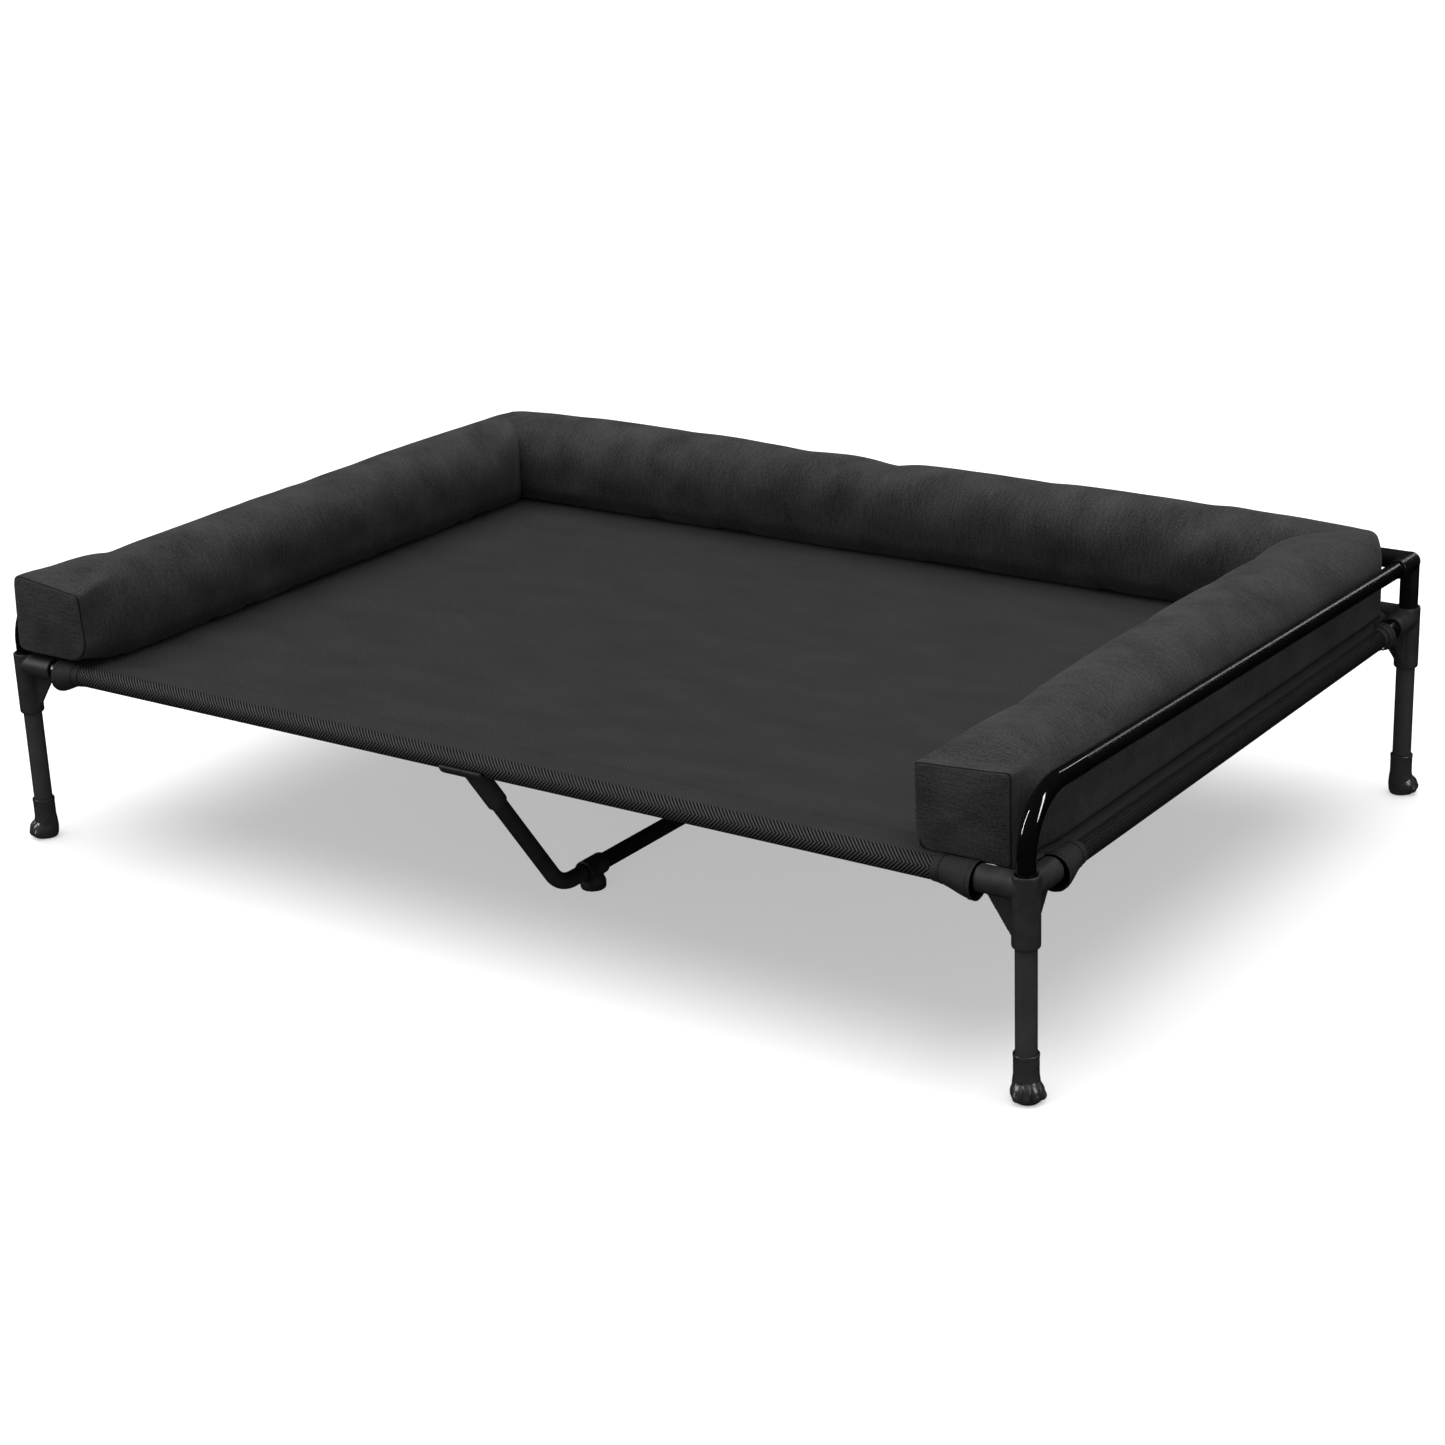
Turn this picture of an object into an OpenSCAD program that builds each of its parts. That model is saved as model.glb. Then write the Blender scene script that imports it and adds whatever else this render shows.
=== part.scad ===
// Raised dog bed with a lift-off bolster.
// Four moulded corner connectors hold round legs, four rails under a woven sling and a
// guard rail on three sides. A bent brace stands under the middle of the two long rails.
// Frame: millimetres, +X along the long side, +Y to the back, +Z up, origin on the floor
// under the centre of the bed. The open side of the U-shaped bolster faces -Y.

/* [Frame] */
// Distance between leg axes along the long side
bed_l = 1350; // [900:10:1400]
// Distance between leg axes along the short side
bed_w = 920; // [700:10:1000]
// Height of the sling rails' axes above the floor
rail_z = 221; // [180:1:300]
// Outer diameter of legs and sling rails
tube_d = 22; // [20:0.5:24]
// Wall thickness of all tubes
tube_wall = 1.2; // [0.8:0.1:1.5]

/* [Corner connectors] */
// Outer diameter of the upright socket
socket_d = 28.5; // [28:0.5:30]
// Outer diameter of the two arms
arm_d = 28; // [27:0.5:28.5]
// Length of each arm from the leg axis
arm_l = 50; // [46:1:54]
// Height of the upright socket
socket_h = 75; // [70:1:85]
// Thickness of the stiffening webs under the arms
web_t = 4; // [3:0.5:6]

/* [Paw feet] */
// Outer diameter of the foot's collar
collar_d = 26.6; // [26:0.2:28]
// Height of the foot with its collar
foot_h = 50; // [45:1:60]
// Width across the toes
paw_w = 35; // [32:1:38]

/* [Middle brace] */
// Outer diameter of the brace tubes
brace_d = 19; // [18:0.5:20]
// Height of the floor bar's axis
bar_z = 24.5; // [22:0.5:30]
// Slant of the brace legs from upright, in degrees
brace_tilt = 36.3; // [34:0.1:38]
// Bend radius of the brace legs
brace_bend_r = 45; // [35:1:50]
// Distance of the brace's feet from the middle of the bed
brace_foot_y = 256; // [240:1:260]
// Length of the clip's socket from the rail axis
clip_socket_l = 76; // [70:1:82]
// Travel of the snap buttons
button_travel = 2; // [1.5:0.1:2.5]

/* [Guard rail] */
// Outer diameter of the straight guard tubes
guard_d = 19; // [18:0.5:20]
// Outer diameter of the bent front posts
post_d = 20; // [19.5:0.5:21]
// Height of the side rails' line above the floor at the front legs
guard_front_z = 311; // [300:1:320]
// Height of the guard rail's axis at the back legs
guard_back_z = 290; // [286:1:300]
// Bend radius of the front posts
post_bend_r = 62; // [55:1:65]
// Length of the elbows' arms from the corner
elbow_l = 41; // [38:1:45]

/* [Sling] */
// Thickness of the woven mesh
mesh_t = 1.2; // [0.8:0.1:1.6]
// Width of the hem sewn under the sling beside each sleeve
hem_w = 42; // [30:1:60]
// Mouth radius of the sleeve cuffs
cuff_mouth_r = 17.5; // [16.5:0.1:18]
// Distance from the leg axis at which each cuff starts to flare
cuff_end = 92; // [85:1:100]

/* [Bolster] */
// Width of the bolster's section
bolster_w = 108; // [100:1:110]
// Height of the bolster's section
bolster_h = 104; // [95:1:110]
// Corner radius of the bolster's section
bolster_r = 30; // [20:1:40]
// Thickness of the quilted cover
cover_t = 2; // [1.5:0.1:3]
// How far the left arm reaches in front of the middle of the bed
left_reach = 475; // [455:1:478]
// How far the right arm reaches in front of the middle of the bed
right_reach = 452; // [445:1:478]

/* [Hidden] */
$fn = 64;

fit = 0.1;                       // radial clearance of one tube in another
cut = 1;                         // how far a cutter runs past the face it cuts
lap = 0.9;                       // how far straight stretches run into a bend
lap_trim = 0.12;                 // their diameter is this much less than the bend's
leg_x = bed_l / 2;
leg_y = bed_w / 2;
tube_r = tube_d / 2;
socket_top = rail_z + arm_d / 2;
socket_bottom = socket_top - socket_h;
joint_z = socket_bottom + 44;    // where leg and guard post meet inside the socket
rail_stop = socket_d / 2 + 2;    // rail ends stop here, measured from the leg axis
paw_floor = 16;                  // the leg stands on the paw's sole at this height
joiner_l = 110;

clip_w = 56;                     // width of the brace clip along the rail
clip_r = 16.5;                   // outer radius of the brace clip
clip_top = -4;                   // upper edge of the saddle, from the rail axis
notch_w = clip_w + 6;            // opening in the sleeves for the clip
brace_r = brace_d / 2;
brace_top_s = 26;                // the brace leg's end, measured from the rail axis
brace_s = (rail_z - bar_z) / cos(brace_tilt);    // slanted length down to the floor bar's line
brace_y = leg_y - brace_s * sin(brace_tilt);     // where the slanted line meets the bar's line
brace_turn = 90 - brace_tilt;                    // angle that the brace leg bends through
brace_tan = brace_bend_r * tan(brace_turn / 2);
bar_y = brace_foot_y + 20;       // half length of the floor bar
button_s = 64;                   // snap button's place along the brace leg
button_r = 3;
button_hole_r = button_r + 0.4;

guard_slope = atan((guard_front_z - guard_back_z) / bed_w);
post_z = guard_front_z - post_bend_r * (1 + sin(guard_slope)) * tan(guard_slope)
    - post_bend_r * cos(guard_slope);            // where the front post starts to bend
post_wall = 1.5;
post_straight = 46;              // straight stretch after the bend
post_end_y = leg_y - post_bend_r * (1 + sin(guard_slope)) - post_straight * cos(guard_slope);
elbow_r = 11.4;
elbow_stop = 17;                 // guard tubes stop here, measured from the corner
elbow_bore_r = 8.6;              // lightening bore in the elbow's upright
elbow_bore_l = 68;
swage_l = 34;                    // length of a reduced tube end
swage_wall = 1.6;                // wall of the tubes that have a reduced end

skin = 0.2;                      // gap between a rail and the sleeve around it
sleeve_in = tube_r + skin;
sleeve_out = sleeve_in + mesh_t;
panel_top = rail_z + sleeve_out;
corner_cut = arm_l + 1;          // the panel's corners are cut off this far from the leg axis
cuff_mouth = arm_l + 2.6;        // the mouth's distance from the leg axis
cuff_drop = 5.2;                 // degrees that a cuff leans down to its mouth
cuff_start = cuff_end - 1.6;     // room for the lean at the sleeve's end

bolster_bottom = socket_top + 0.4;
bolster_side_x = leg_x - 19;     // outer face of the bolster's arms
bolster_back_y = leg_y - 13;     // outer face of the bolster's back
gap = 0.3;                       // end clearance between pieces

// ---------- shared shapes ----------

// Straight tube along +Z
module tube(d, h, wall = tube_wall) {
    difference() {
        cylinder(d = d, h = h);
        translate([0, 0, -cut]) cylinder(d = d - 2 * wall, h = h + 2 * cut);
    }
}

// Round bar that comes up +Z to the origin, bends towards +X and runs on straight
module bent_bar(d, r, angle, lead, tail) {
    translate([0, 0, -lead]) cylinder(d = d - lap_trim, h = lead + lap);
    translate([r, 0, 0]) rotate([90, 0, 0]) mirror([1, 0, 0])
        rotate_extrude(angle = angle) translate([r, 0]) circle(d = d);
    translate([r, 0, 0]) rotate([0, angle, 0]) translate([-r, 0, -lap])
        cylinder(d = d - lap_trim, h = tail + lap);
}

// The same bar as a tube
module bent_tube(d, r, angle, lead, tail, wall) {
    difference() {
        bent_bar(d, r, angle, lead, tail);
        bent_bar(d - 2 * wall, r, angle, lead + cut, tail + cut);
    }
}

// Copies a piece made at the corner x, y > 0 to the corner with the signs sx, sy
module at_corner(sx, sy) {
    mirror([sx < 0 ? 1 : 0, 0, 0]) mirror([0, sy < 0 ? 1 : 0, 0]) children();
}

// Turns +Z to the direction +X or +Y
module along_x() { rotate([0, 90, 0]) children(); }
module along_y() { rotate([-90, 0, 0]) children(); }

// ---------- corner connectors ----------

// Web under an arm, in the XZ plane, pointing inwards along -X from the socket
module web() {
    foot_z = socket_bottom + 8;
    rotate([90, 0, 0]) translate([0, 0, -web_t / 2]) linear_extrude(web_t)
        polygon([[-socket_d / 2 + 3, foot_z], [-socket_d / 2 - 1, foot_z],
            [-arm_l + 6, rail_z - arm_d / 2 + 3], [-socket_d / 2 + 3, rail_z]]);
}

module connector(sx, sy) {
    color([0.09, 0.09, 0.10]) at_corner(sx, sy) translate([leg_x, leg_y, 0]) difference() {
        union() {
            translate([0, 0, socket_bottom + 2]) cylinder(d = socket_d, h = socket_h - 2);
            translate([0, 0, socket_bottom]) cylinder(d1 = socket_d - 3, d2 = socket_d, h = 2);
            translate([-arm_l, 0, rail_z]) along_x() cylinder(d = arm_d, h = arm_l);
            translate([0, -arm_l, rail_z]) along_y() cylinder(d = arm_d, h = arm_l);
            web();
            rotate([0, 0, 90]) web();
        }
        translate([0, 0, socket_bottom - cut])
            cylinder(r = tube_r + fit, h = socket_h + 2 * cut);
        translate([-arm_l - cut, 0, rail_z]) along_x()
            cylinder(r = tube_r + fit, h = arm_l + cut - rail_stop);
        translate([0, -arm_l - cut, rail_z]) along_y()
            cylinder(r = tube_r + fit, h = arm_l + cut - rail_stop);
    }
}

// ---------- legs and paw feet ----------

module leg(sx, sy) {
    color([0.10, 0.10, 0.11]) translate([sx * leg_x, sy * leg_y, paw_floor])
        tube(tube_d, joint_z - paw_floor);
}

// One toe pointing along +X, rising to the ankle
module toe(x, y, r) {
    hull() {
        translate([x, y, r]) sphere(r = r, $fn = 24);
        translate([x * 0.5, y * 0.8, 2.8 * r]) sphere(r = r * 0.8, $fn = 24);
        translate([0, y * 0.6, r]) sphere(r = r, $fn = 24);
    }
}

// Moulded foot: a collar round the leg over a paw whose toes point away from the bed
module paw(sx, sy) {
    heel_r = 13.6;
    heel_h = 22;
    ankle_h = 28;
    lip_h = 3;
    ankle_r = collar_d / 2 - 0.8;
    inner_toe_r = 6.4;
    outer_toe_r = 5.6;
    color([0.08, 0.08, 0.09]) translate([sx * leg_x, sy * leg_y, 0])
        rotate([0, 0, atan2(sy, sx)]) difference() {
            union() {
                cylinder(r = heel_r, h = heel_h);
                translate([0, 0, heel_h]) cylinder(r1 = heel_r, r2 = ankle_r, h = ankle_h - heel_h);
                translate([0, 0, ankle_h]) cylinder(r = ankle_r, h = foot_h - lip_h - ankle_h);
                translate([0, 0, foot_h - lip_h]) cylinder(d = collar_d, h = lip_h);
                for (i = [-1, 1]) {
                    toe(16, i * 4.4, inner_toe_r);
                    toe(11, i * (paw_w / 2 - outer_toe_r), outer_toe_r);
                }
            }
            translate([0, 0, paw_floor]) cylinder(r = tube_r + fit, h = foot_h);
        }
}

// ---------- sling rails ----------

module long_rail_half(sx, sy) {
    color([0.10, 0.10, 0.11]) mirror([sx < 0 ? 1 : 0, 0, 0])
        translate([gap / 2, sy * leg_y, rail_z]) along_x()
            tube(tube_d, leg_x - rail_stop - gap / 2 - gap);
}

module rail_joiner(sy) {
    color([0.55, 0.56, 0.58]) translate([-joiner_l / 2, sy * leg_y, rail_z]) along_x()
        tube(tube_d - 2 * tube_wall - 2 * fit, joiner_l);
}

module short_rail(sx) {
    color([0.10, 0.10, 0.11]) translate([sx * leg_x, rail_stop + gap - leg_y, rail_z])
        along_y() tube(tube_d, bed_w - 2 * rail_stop - 2 * gap);
}

// ---------- middle brace ----------

// Places a piece drawn along +Z on the slanted line that runs down from the front rail's
// axis; sy = 1 gives the same at the back
module on_brace(sy) {
    mirror([0, sy > 0 ? 1 : 0, 0]) translate([0, -leg_y, rail_z])
        rotate([180 + brace_tilt, 0, 0]) children();
}

// Saddle under the long rail with a socket for the brace leg
module brace_clip(sy) {
    socket_from = 4;             // the socket starts this far from the rail axis
    socket_wall = 2.2;
    color([0.09, 0.09, 0.10]) difference() {
        union() {
            translate([-clip_w / 2, sy * leg_y, rail_z]) along_x()
                cylinder(r = clip_r, h = clip_w);
            on_brace(sy) translate([0, 0, socket_from])
                cylinder(r = brace_r + socket_wall, h = clip_socket_l - socket_from);
        }
        translate([-clip_w, sy * leg_y - 2 * clip_r, rail_z + clip_top])
            cube([2 * clip_w, 4 * clip_r, 2 * clip_r]);
        translate([-clip_w, sy * leg_y, rail_z]) along_x()
            cylinder(r = tube_r + fit, h = 2 * clip_w);
        on_brace(sy) translate([0, 0, brace_top_s - 1])
            cylinder(r = brace_r + fit, h = clip_socket_l);
        on_brace(sy) translate([0, 0, button_s]) rotate([90, 0, 0])
            cylinder(r = button_hole_r, h = 2 * brace_d);
    }
}

// Sprung button inside the brace leg that locks it in the clip's socket
module brace_button(sy) {
    reach = brace_r + 1 + button_travel;
    flange_z = 3;
    flange_t = 1.5;
    round_l = 1;
    color([0.62, 0.63, 0.65]) on_brace(sy) translate([0, 0, button_s]) rotate([90, 0, 0]) {
        translate([0, 0, flange_z + 1]) cylinder(r = button_r, h = reach - round_l - flange_z - 1);
        translate([0, 0, reach - round_l])
            cylinder(r1 = button_r, r2 = button_r - round_l, h = round_l);
        translate([0, 0, flange_z]) cylinder(r = button_r + 1.4, h = flange_t);
    }
}

// Bent tube from the clip's socket down to the floor bar, with a reduced end inside the bar
module brace_leg(sy) {
    color([0.11, 0.11, 0.12]) difference() {
        union() {
            on_brace(sy) translate([0, 0, brace_s - brace_tan]) rotate([0, 0, -90])
                bent_tube(brace_d, brace_bend_r, brace_turn,
                    brace_s - brace_tan - brace_top_s, brace_y - brace_tan - bar_y, swage_wall);
            mirror([0, sy > 0 ? 1 : 0, 0]) translate([0, -bar_y - 3, bar_z]) along_y()
                tube(brace_d - 2 * tube_wall - 2 * fit, swage_l, swage_wall);
        }
        on_brace(sy) translate([0, 0, button_s]) rotate([90, 0, 0])
            cylinder(r = button_hole_r, h = 2 * brace_d);
    }
}

module brace_bar() {
    color([0.07, 0.07, 0.08]) translate([0, gap - bar_y, bar_z]) along_y()
        tube(brace_d, 2 * (bar_y - gap));
}

// Round pad with a strap that wraps the floor bar
module brace_foot(sy) {
    strap_r = brace_r + 3;
    strap_l = 34;
    pad_r = 15;
    chamfer = 2.5;
    pad_top = 9.5;
    neck_h = 6;
    color([0.07, 0.07, 0.08]) translate([0, sy * brace_foot_y, 0]) difference() {
        union() {
            cylinder(r1 = pad_r - 0.8, r2 = pad_r, h = chamfer);
            translate([0, 0, chamfer]) cylinder(r = pad_r, h = pad_top - chamfer);
            translate([0, 0, pad_top]) cylinder(r1 = pad_r, r2 = pad_r - 3, h = neck_h);
            translate([0, -strap_l / 2, bar_z]) along_y() cylinder(r = strap_r, h = strap_l);
        }
        translate([0, -strap_l, bar_z]) along_y() cylinder(r = brace_r + fit, h = 2 * strap_l);
    }
}

// ---------- guard rail ----------

// Places a piece drawn along +Z on the side rail's line, starting at the front leg axis
module on_side_rail(sx) {
    translate([sx * leg_x, -leg_y, guard_front_z]) rotate([-90 - guard_slope, 0, 0]) children();
}

module guard_post(sx) {
    color([0.04, 0.04, 0.045]) translate([sx * leg_x, -leg_y, post_z]) rotate([0, 0, 90])
        bent_tube(post_d, post_bend_r, 90 + guard_slope, post_z - joint_z - gap,
            post_straight, post_wall);
}

module guard_side(sx) {
    start = (leg_y - post_end_y) / cos(guard_slope) + gap;
    end = (bed_w - elbow_stop) / cos(guard_slope) - gap;
    color([0.05, 0.05, 0.055]) on_side_rail(sx) {
        translate([0, 0, start]) tube(guard_d, end - start, swage_wall);
        translate([0, 0, start - swage_l])
            tube(post_d - 2 * post_wall - 2 * fit, swage_l + 3, swage_wall);
    }
}

module guard_elbow(sx) {
    ball = 0.25;                 // the corner's ball stands this much proud of the arms
    color([0.05, 0.05, 0.055]) mirror([sx < 0 ? 1 : 0, 0, 0])
        translate([leg_x, leg_y, guard_back_z]) difference() {
            union() {
                sphere(r = elbow_r + ball);
                translate([0, 0, joint_z + gap - guard_back_z])
                    cylinder(r = tube_r, h = guard_back_z - joint_z - gap);
                rotate([90 - guard_slope, 0, 0]) cylinder(r = elbow_r, h = elbow_l);
                rotate([0, -90, 0]) cylinder(r = elbow_r, h = elbow_l);
            }
            rotate([90 - guard_slope, 0, 0]) translate([0, 0, elbow_stop])
                cylinder(r = guard_d / 2 + fit, h = elbow_l);
            rotate([0, -90, 0]) translate([0, 0, elbow_stop])
                cylinder(r = guard_d / 2 + fit, h = elbow_l);
            translate([0, 0, joint_z - guard_back_z - cut])
                cylinder(r = elbow_bore_r, h = elbow_bore_l);
        }
}

module guard_back(sx) {
    color([0.05, 0.05, 0.055]) mirror([sx < 0 ? 1 : 0, 0, 0])
        translate([gap / 2, leg_y, guard_back_z]) along_x()
            tube(guard_d, leg_x - elbow_stop - gap / 2 - gap);
}

module guard_joiner() {
    color([0.55, 0.56, 0.58]) translate([-joiner_l / 2, leg_y, guard_back_z]) along_x()
        tube(guard_d - 2 * tube_wall - 2 * fit, joiner_l);
}

// ---------- sling ----------

// Everything that the sleeves wrap, grown to the sleeves' outer radius
module sleeve_cores(r) {
    for (s = [-1, 1]) {
        translate([-leg_x, s * leg_y, rail_z]) along_x() cylinder(r = r, h = bed_l);
        translate([s * leg_x, -leg_y, rail_z]) along_y() cylinder(r = r, h = bed_w);
    }
}

// Flat plan of the sling with its four corners cut off
module sling_plan(reach_x, reach_y) {
    c = corner_cut;
    polygon([
        [-reach_x, c - leg_y], [c - leg_x, -reach_y], [leg_x - c, -reach_y],
        [reach_x, c - leg_y], [reach_x, leg_y - c], [leg_x - c, reach_y],
        [c - leg_x, reach_y], [-reach_x, leg_y - c]
    ]);
}

// Room for the cuffs and connector arms at one corner
module cuff_room() {
    r = cuff_mouth_r + 1.2;
    translate([leg_x - cuff_end, leg_y, rail_z]) along_x() cylinder(r = r, h = cuff_end);
    translate([leg_x, leg_y - cuff_end, rail_z]) along_y() cylinder(r = r, h = cuff_end);
}

module sling_panel() {
    color([0.13, 0.13, 0.14]) difference() {
        translate([0, 0, panel_top - mesh_t]) linear_extrude(mesh_t) sling_plan(leg_x, leg_y);
        sleeve_cores(sleeve_out + 0.05);
        for (sx = [-1, 1], sy = [-1, 1]) at_corner(sx, sy) cuff_room();
    }
}

// Sleeve round a rail along +X through the origin, with its hem towards +Y
module sleeve(length, notch) {
    hem_z = sleeve_out - 2 * mesh_t;
    difference() {
        union() {
            translate([-length / 2, 0, 0]) along_x() cylinder(r = sleeve_out, h = length);
            translate([-length / 2, 0, hem_z]) cube([length, hem_w, mesh_t - 0.05]);
        }
        translate([-length / 2 - cut, 0, 0]) along_x()
            cylinder(r = sleeve_in, h = length + 2 * cut);
        if (notch > 0) translate([-notch / 2, -2 * clip_r, clip_top - 4 * clip_r])
            cube([notch, 4 * clip_r, 4 * clip_r + 1]);
    }
}

module long_sleeve(sy) {
    color([0.13, 0.13, 0.14]) translate([0, sy * leg_y, rail_z])
        mirror([0, sy > 0 ? 1 : 0, 0]) sleeve(bed_l - 2 * cuff_end, notch_w);
}

module short_sleeve(sx) {
    color([0.13, 0.13, 0.14]) translate([sx * leg_x, 0, rail_z])
        mirror([sx < 0 ? 1 : 0, 0, 0]) rotate([0, 0, 90]) sleeve(bed_w - 2 * cuff_end, 0);
}

// Flared binding at a sleeve's end, drawn along +Z with its mouth at the top
module cuff_shape() {
    l = cuff_start - cuff_mouth;
    r0 = sleeve_out + mesh_t + gap;
    rotate_extrude() polygon([
        [r0 - mesh_t, 0], [r0, 0], [cuff_mouth_r, l], [cuff_mouth_r - mesh_t, l]
    ]);
}

// Cuffs on the long rails
module long_cuff(sx, sy) {
    color([0.10, 0.10, 0.11]) at_corner(sx, sy)
        translate([leg_x - cuff_start, leg_y, rail_z]) rotate([0, 90 + cuff_drop, 0])
            cuff_shape();
}

// Cuffs on the short rails
module short_cuff(sx, sy) {
    color([0.10, 0.10, 0.11]) at_corner(sx, sy)
        translate([leg_x, leg_y - cuff_start, rail_z]) rotate([-90 - cuff_drop, 0, 0])
            cuff_shape();
}

// ---------- bolster ----------

// Section of a bolster arm, inset by i, with its lower outer corner at the origin
module bolster_section(i) {
    w = bolster_w - 2 * i;
    h = bolster_h - 2 * i;
    r = bolster_r - i;
    translate([-bolster_w / 2, bolster_h / 2]) {
        square([w - 2 * r, h], center = true);
        square([w, h - 2 * r], center = true);
        for (x = [-1, 1], y = [-1, 1])
            translate([x * (w / 2 - r), y * (h / 2 - r)]) circle(r = r);
    }
}

// Side arm on +X from the front end to the back corner, inset by i all round
module arm_bar(reach, i) {
    translate([bolster_side_x, -reach + i, bolster_bottom]) rotate([90, 0, 0])
        mirror([0, 0, 1]) linear_extrude(reach + bolster_back_y - i) bolster_section(i);
}

// Back run of the bolster from side to side, inset by i
module back_bar(i) {
    translate([-bolster_side_x, bolster_back_y, bolster_bottom]) rotate([90, 0, 90])
        linear_extrude(2 * bolster_side_x) bolster_section(i);
}

// Plan of the mitre on +X, kept for the side arm and removed from the back run
module mitre(shift) {
    over = 9;
    translate([0, 0, bolster_bottom - cut]) linear_extrude(bolster_h + 2 * cut) polygon([
        [bolster_side_x - bolster_w - over, -bed_w],
        [bolster_side_x + over, -bed_w],
        [bolster_side_x + over, bolster_back_y + over - shift],
        [bolster_side_x - bolster_w - over, bolster_back_y - bolster_w - over - shift]
    ]);
}

module cover_arm(sx, reach) {
    color([0.12, 0.12, 0.13]) mirror([sx < 0 ? 1 : 0, 0, 0]) intersection() {
        difference() {
            arm_bar(reach, 0);
            arm_bar(reach, cover_t);
        }
        mitre(0);
    }
}

module fill_arm(sx, reach) {
    color([0.93, 0.92, 0.90]) mirror([sx < 0 ? 1 : 0, 0, 0]) intersection() {
        arm_bar(reach, cover_t + gap);
        mitre(gap);
    }
}

module back_run(i, shift) {
    difference() {
        back_bar(i);
        for (s = [0, 1]) mirror([s, 0, 0]) mitre(shift);
    }
}

module cover_back() {
    color([0.12, 0.12, 0.13]) difference() {
        back_run(0, 0);
        back_bar(cover_t);
    }
}

module fill_back() {
    color([0.93, 0.92, 0.90]) back_run(cover_t + gap, 0);
}

// ---------- nodes ----------

connector(-1, -1);  // connector_front_left
connector(1, -1);  // connector_front_right
connector(-1, 1);  // connector_back_left
connector(1, 1);  // connector_back_right
leg(-1, -1);  // leg_front_left
leg(1, -1);  // leg_front_right
leg(-1, 1);  // leg_back_left
leg(1, 1);  // leg_back_right
paw(-1, -1);  // paw_front_left
paw(1, -1);  // paw_front_right
paw(-1, 1);  // paw_back_left
paw(1, 1);  // paw_back_right
long_rail_half(-1, -1);  // rail_front_left
long_rail_half(1, -1);  // rail_front_right
rail_joiner(-1);  // rail_joiner_front
long_rail_half(-1, 1);  // rail_back_left
long_rail_half(1, 1);  // rail_back_right
rail_joiner(1);  // rail_joiner_back
short_rail(-1);  // rail_left
short_rail(1);  // rail_right
brace_clip(-1);  // brace_clip_front
brace_clip(1);  // brace_clip_back
brace_button(-1);  // brace_button_front
brace_button(1);  // brace_button_back
brace_leg(-1);  // brace_leg_front
brace_leg(1);  // brace_leg_back
brace_bar();
brace_foot(-1);  // brace_foot_front
brace_foot(1);  // brace_foot_back
guard_post(-1);  // guard_post_left
guard_post(1);  // guard_post_right
guard_side(-1);  // guard_side_left
guard_side(1);  // guard_side_right
guard_elbow(-1);  // guard_elbow_left
guard_elbow(1);  // guard_elbow_right
guard_back(-1);  // guard_back_left
guard_back(1);  // guard_back_right
guard_joiner();
sling_panel();
long_sleeve(-1);  // sleeve_front
long_sleeve(1);  // sleeve_back
short_sleeve(-1);  // sleeve_left
short_sleeve(1);  // sleeve_right
long_cuff(-1, -1);  // cuff_front_left
long_cuff(1, -1);  // cuff_front_right
long_cuff(-1, 1);  // cuff_back_left
long_cuff(1, 1);  // cuff_back_right
short_cuff(-1, -1);  // cuff_left_front
short_cuff(-1, 1);  // cuff_left_back
short_cuff(1, -1);  // cuff_right_front
short_cuff(1, 1);  // cuff_right_back
cover_arm(-1, left_reach);  // cover_left
cover_back();
cover_arm(1, right_reach);  // cover_right
fill_arm(-1, left_reach);  // fill_left
fill_back();
fill_arm(1, right_reach);  // fill_right
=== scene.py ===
"""Raised dog bed with a lift-off bolster: the looks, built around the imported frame."""

import math

import bmesh
import bpy
import numpy as np
from mathutils import Matrix, Vector, noise


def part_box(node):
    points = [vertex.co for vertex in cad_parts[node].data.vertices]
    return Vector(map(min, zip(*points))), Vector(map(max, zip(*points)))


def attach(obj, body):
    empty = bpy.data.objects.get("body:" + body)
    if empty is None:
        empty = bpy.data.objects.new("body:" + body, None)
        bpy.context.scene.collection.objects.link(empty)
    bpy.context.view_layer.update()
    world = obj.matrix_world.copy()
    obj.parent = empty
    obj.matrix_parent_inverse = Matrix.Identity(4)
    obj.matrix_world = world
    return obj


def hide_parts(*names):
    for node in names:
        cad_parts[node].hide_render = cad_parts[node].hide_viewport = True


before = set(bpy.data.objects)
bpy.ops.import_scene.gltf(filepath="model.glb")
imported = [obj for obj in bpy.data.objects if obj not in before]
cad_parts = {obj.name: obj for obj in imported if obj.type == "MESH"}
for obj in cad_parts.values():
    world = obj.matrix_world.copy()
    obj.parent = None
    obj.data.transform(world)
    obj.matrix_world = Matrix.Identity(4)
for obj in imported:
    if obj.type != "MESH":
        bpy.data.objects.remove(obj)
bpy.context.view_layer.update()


# ---------- places and sizes, all from the frame ----------


def middle(node):
    """Centre of a CAD node's box."""
    low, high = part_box(node)
    return (low + high) / 2


def extent(node):
    """Size of a CAD node's box."""
    low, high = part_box(node)
    return high - low


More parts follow.
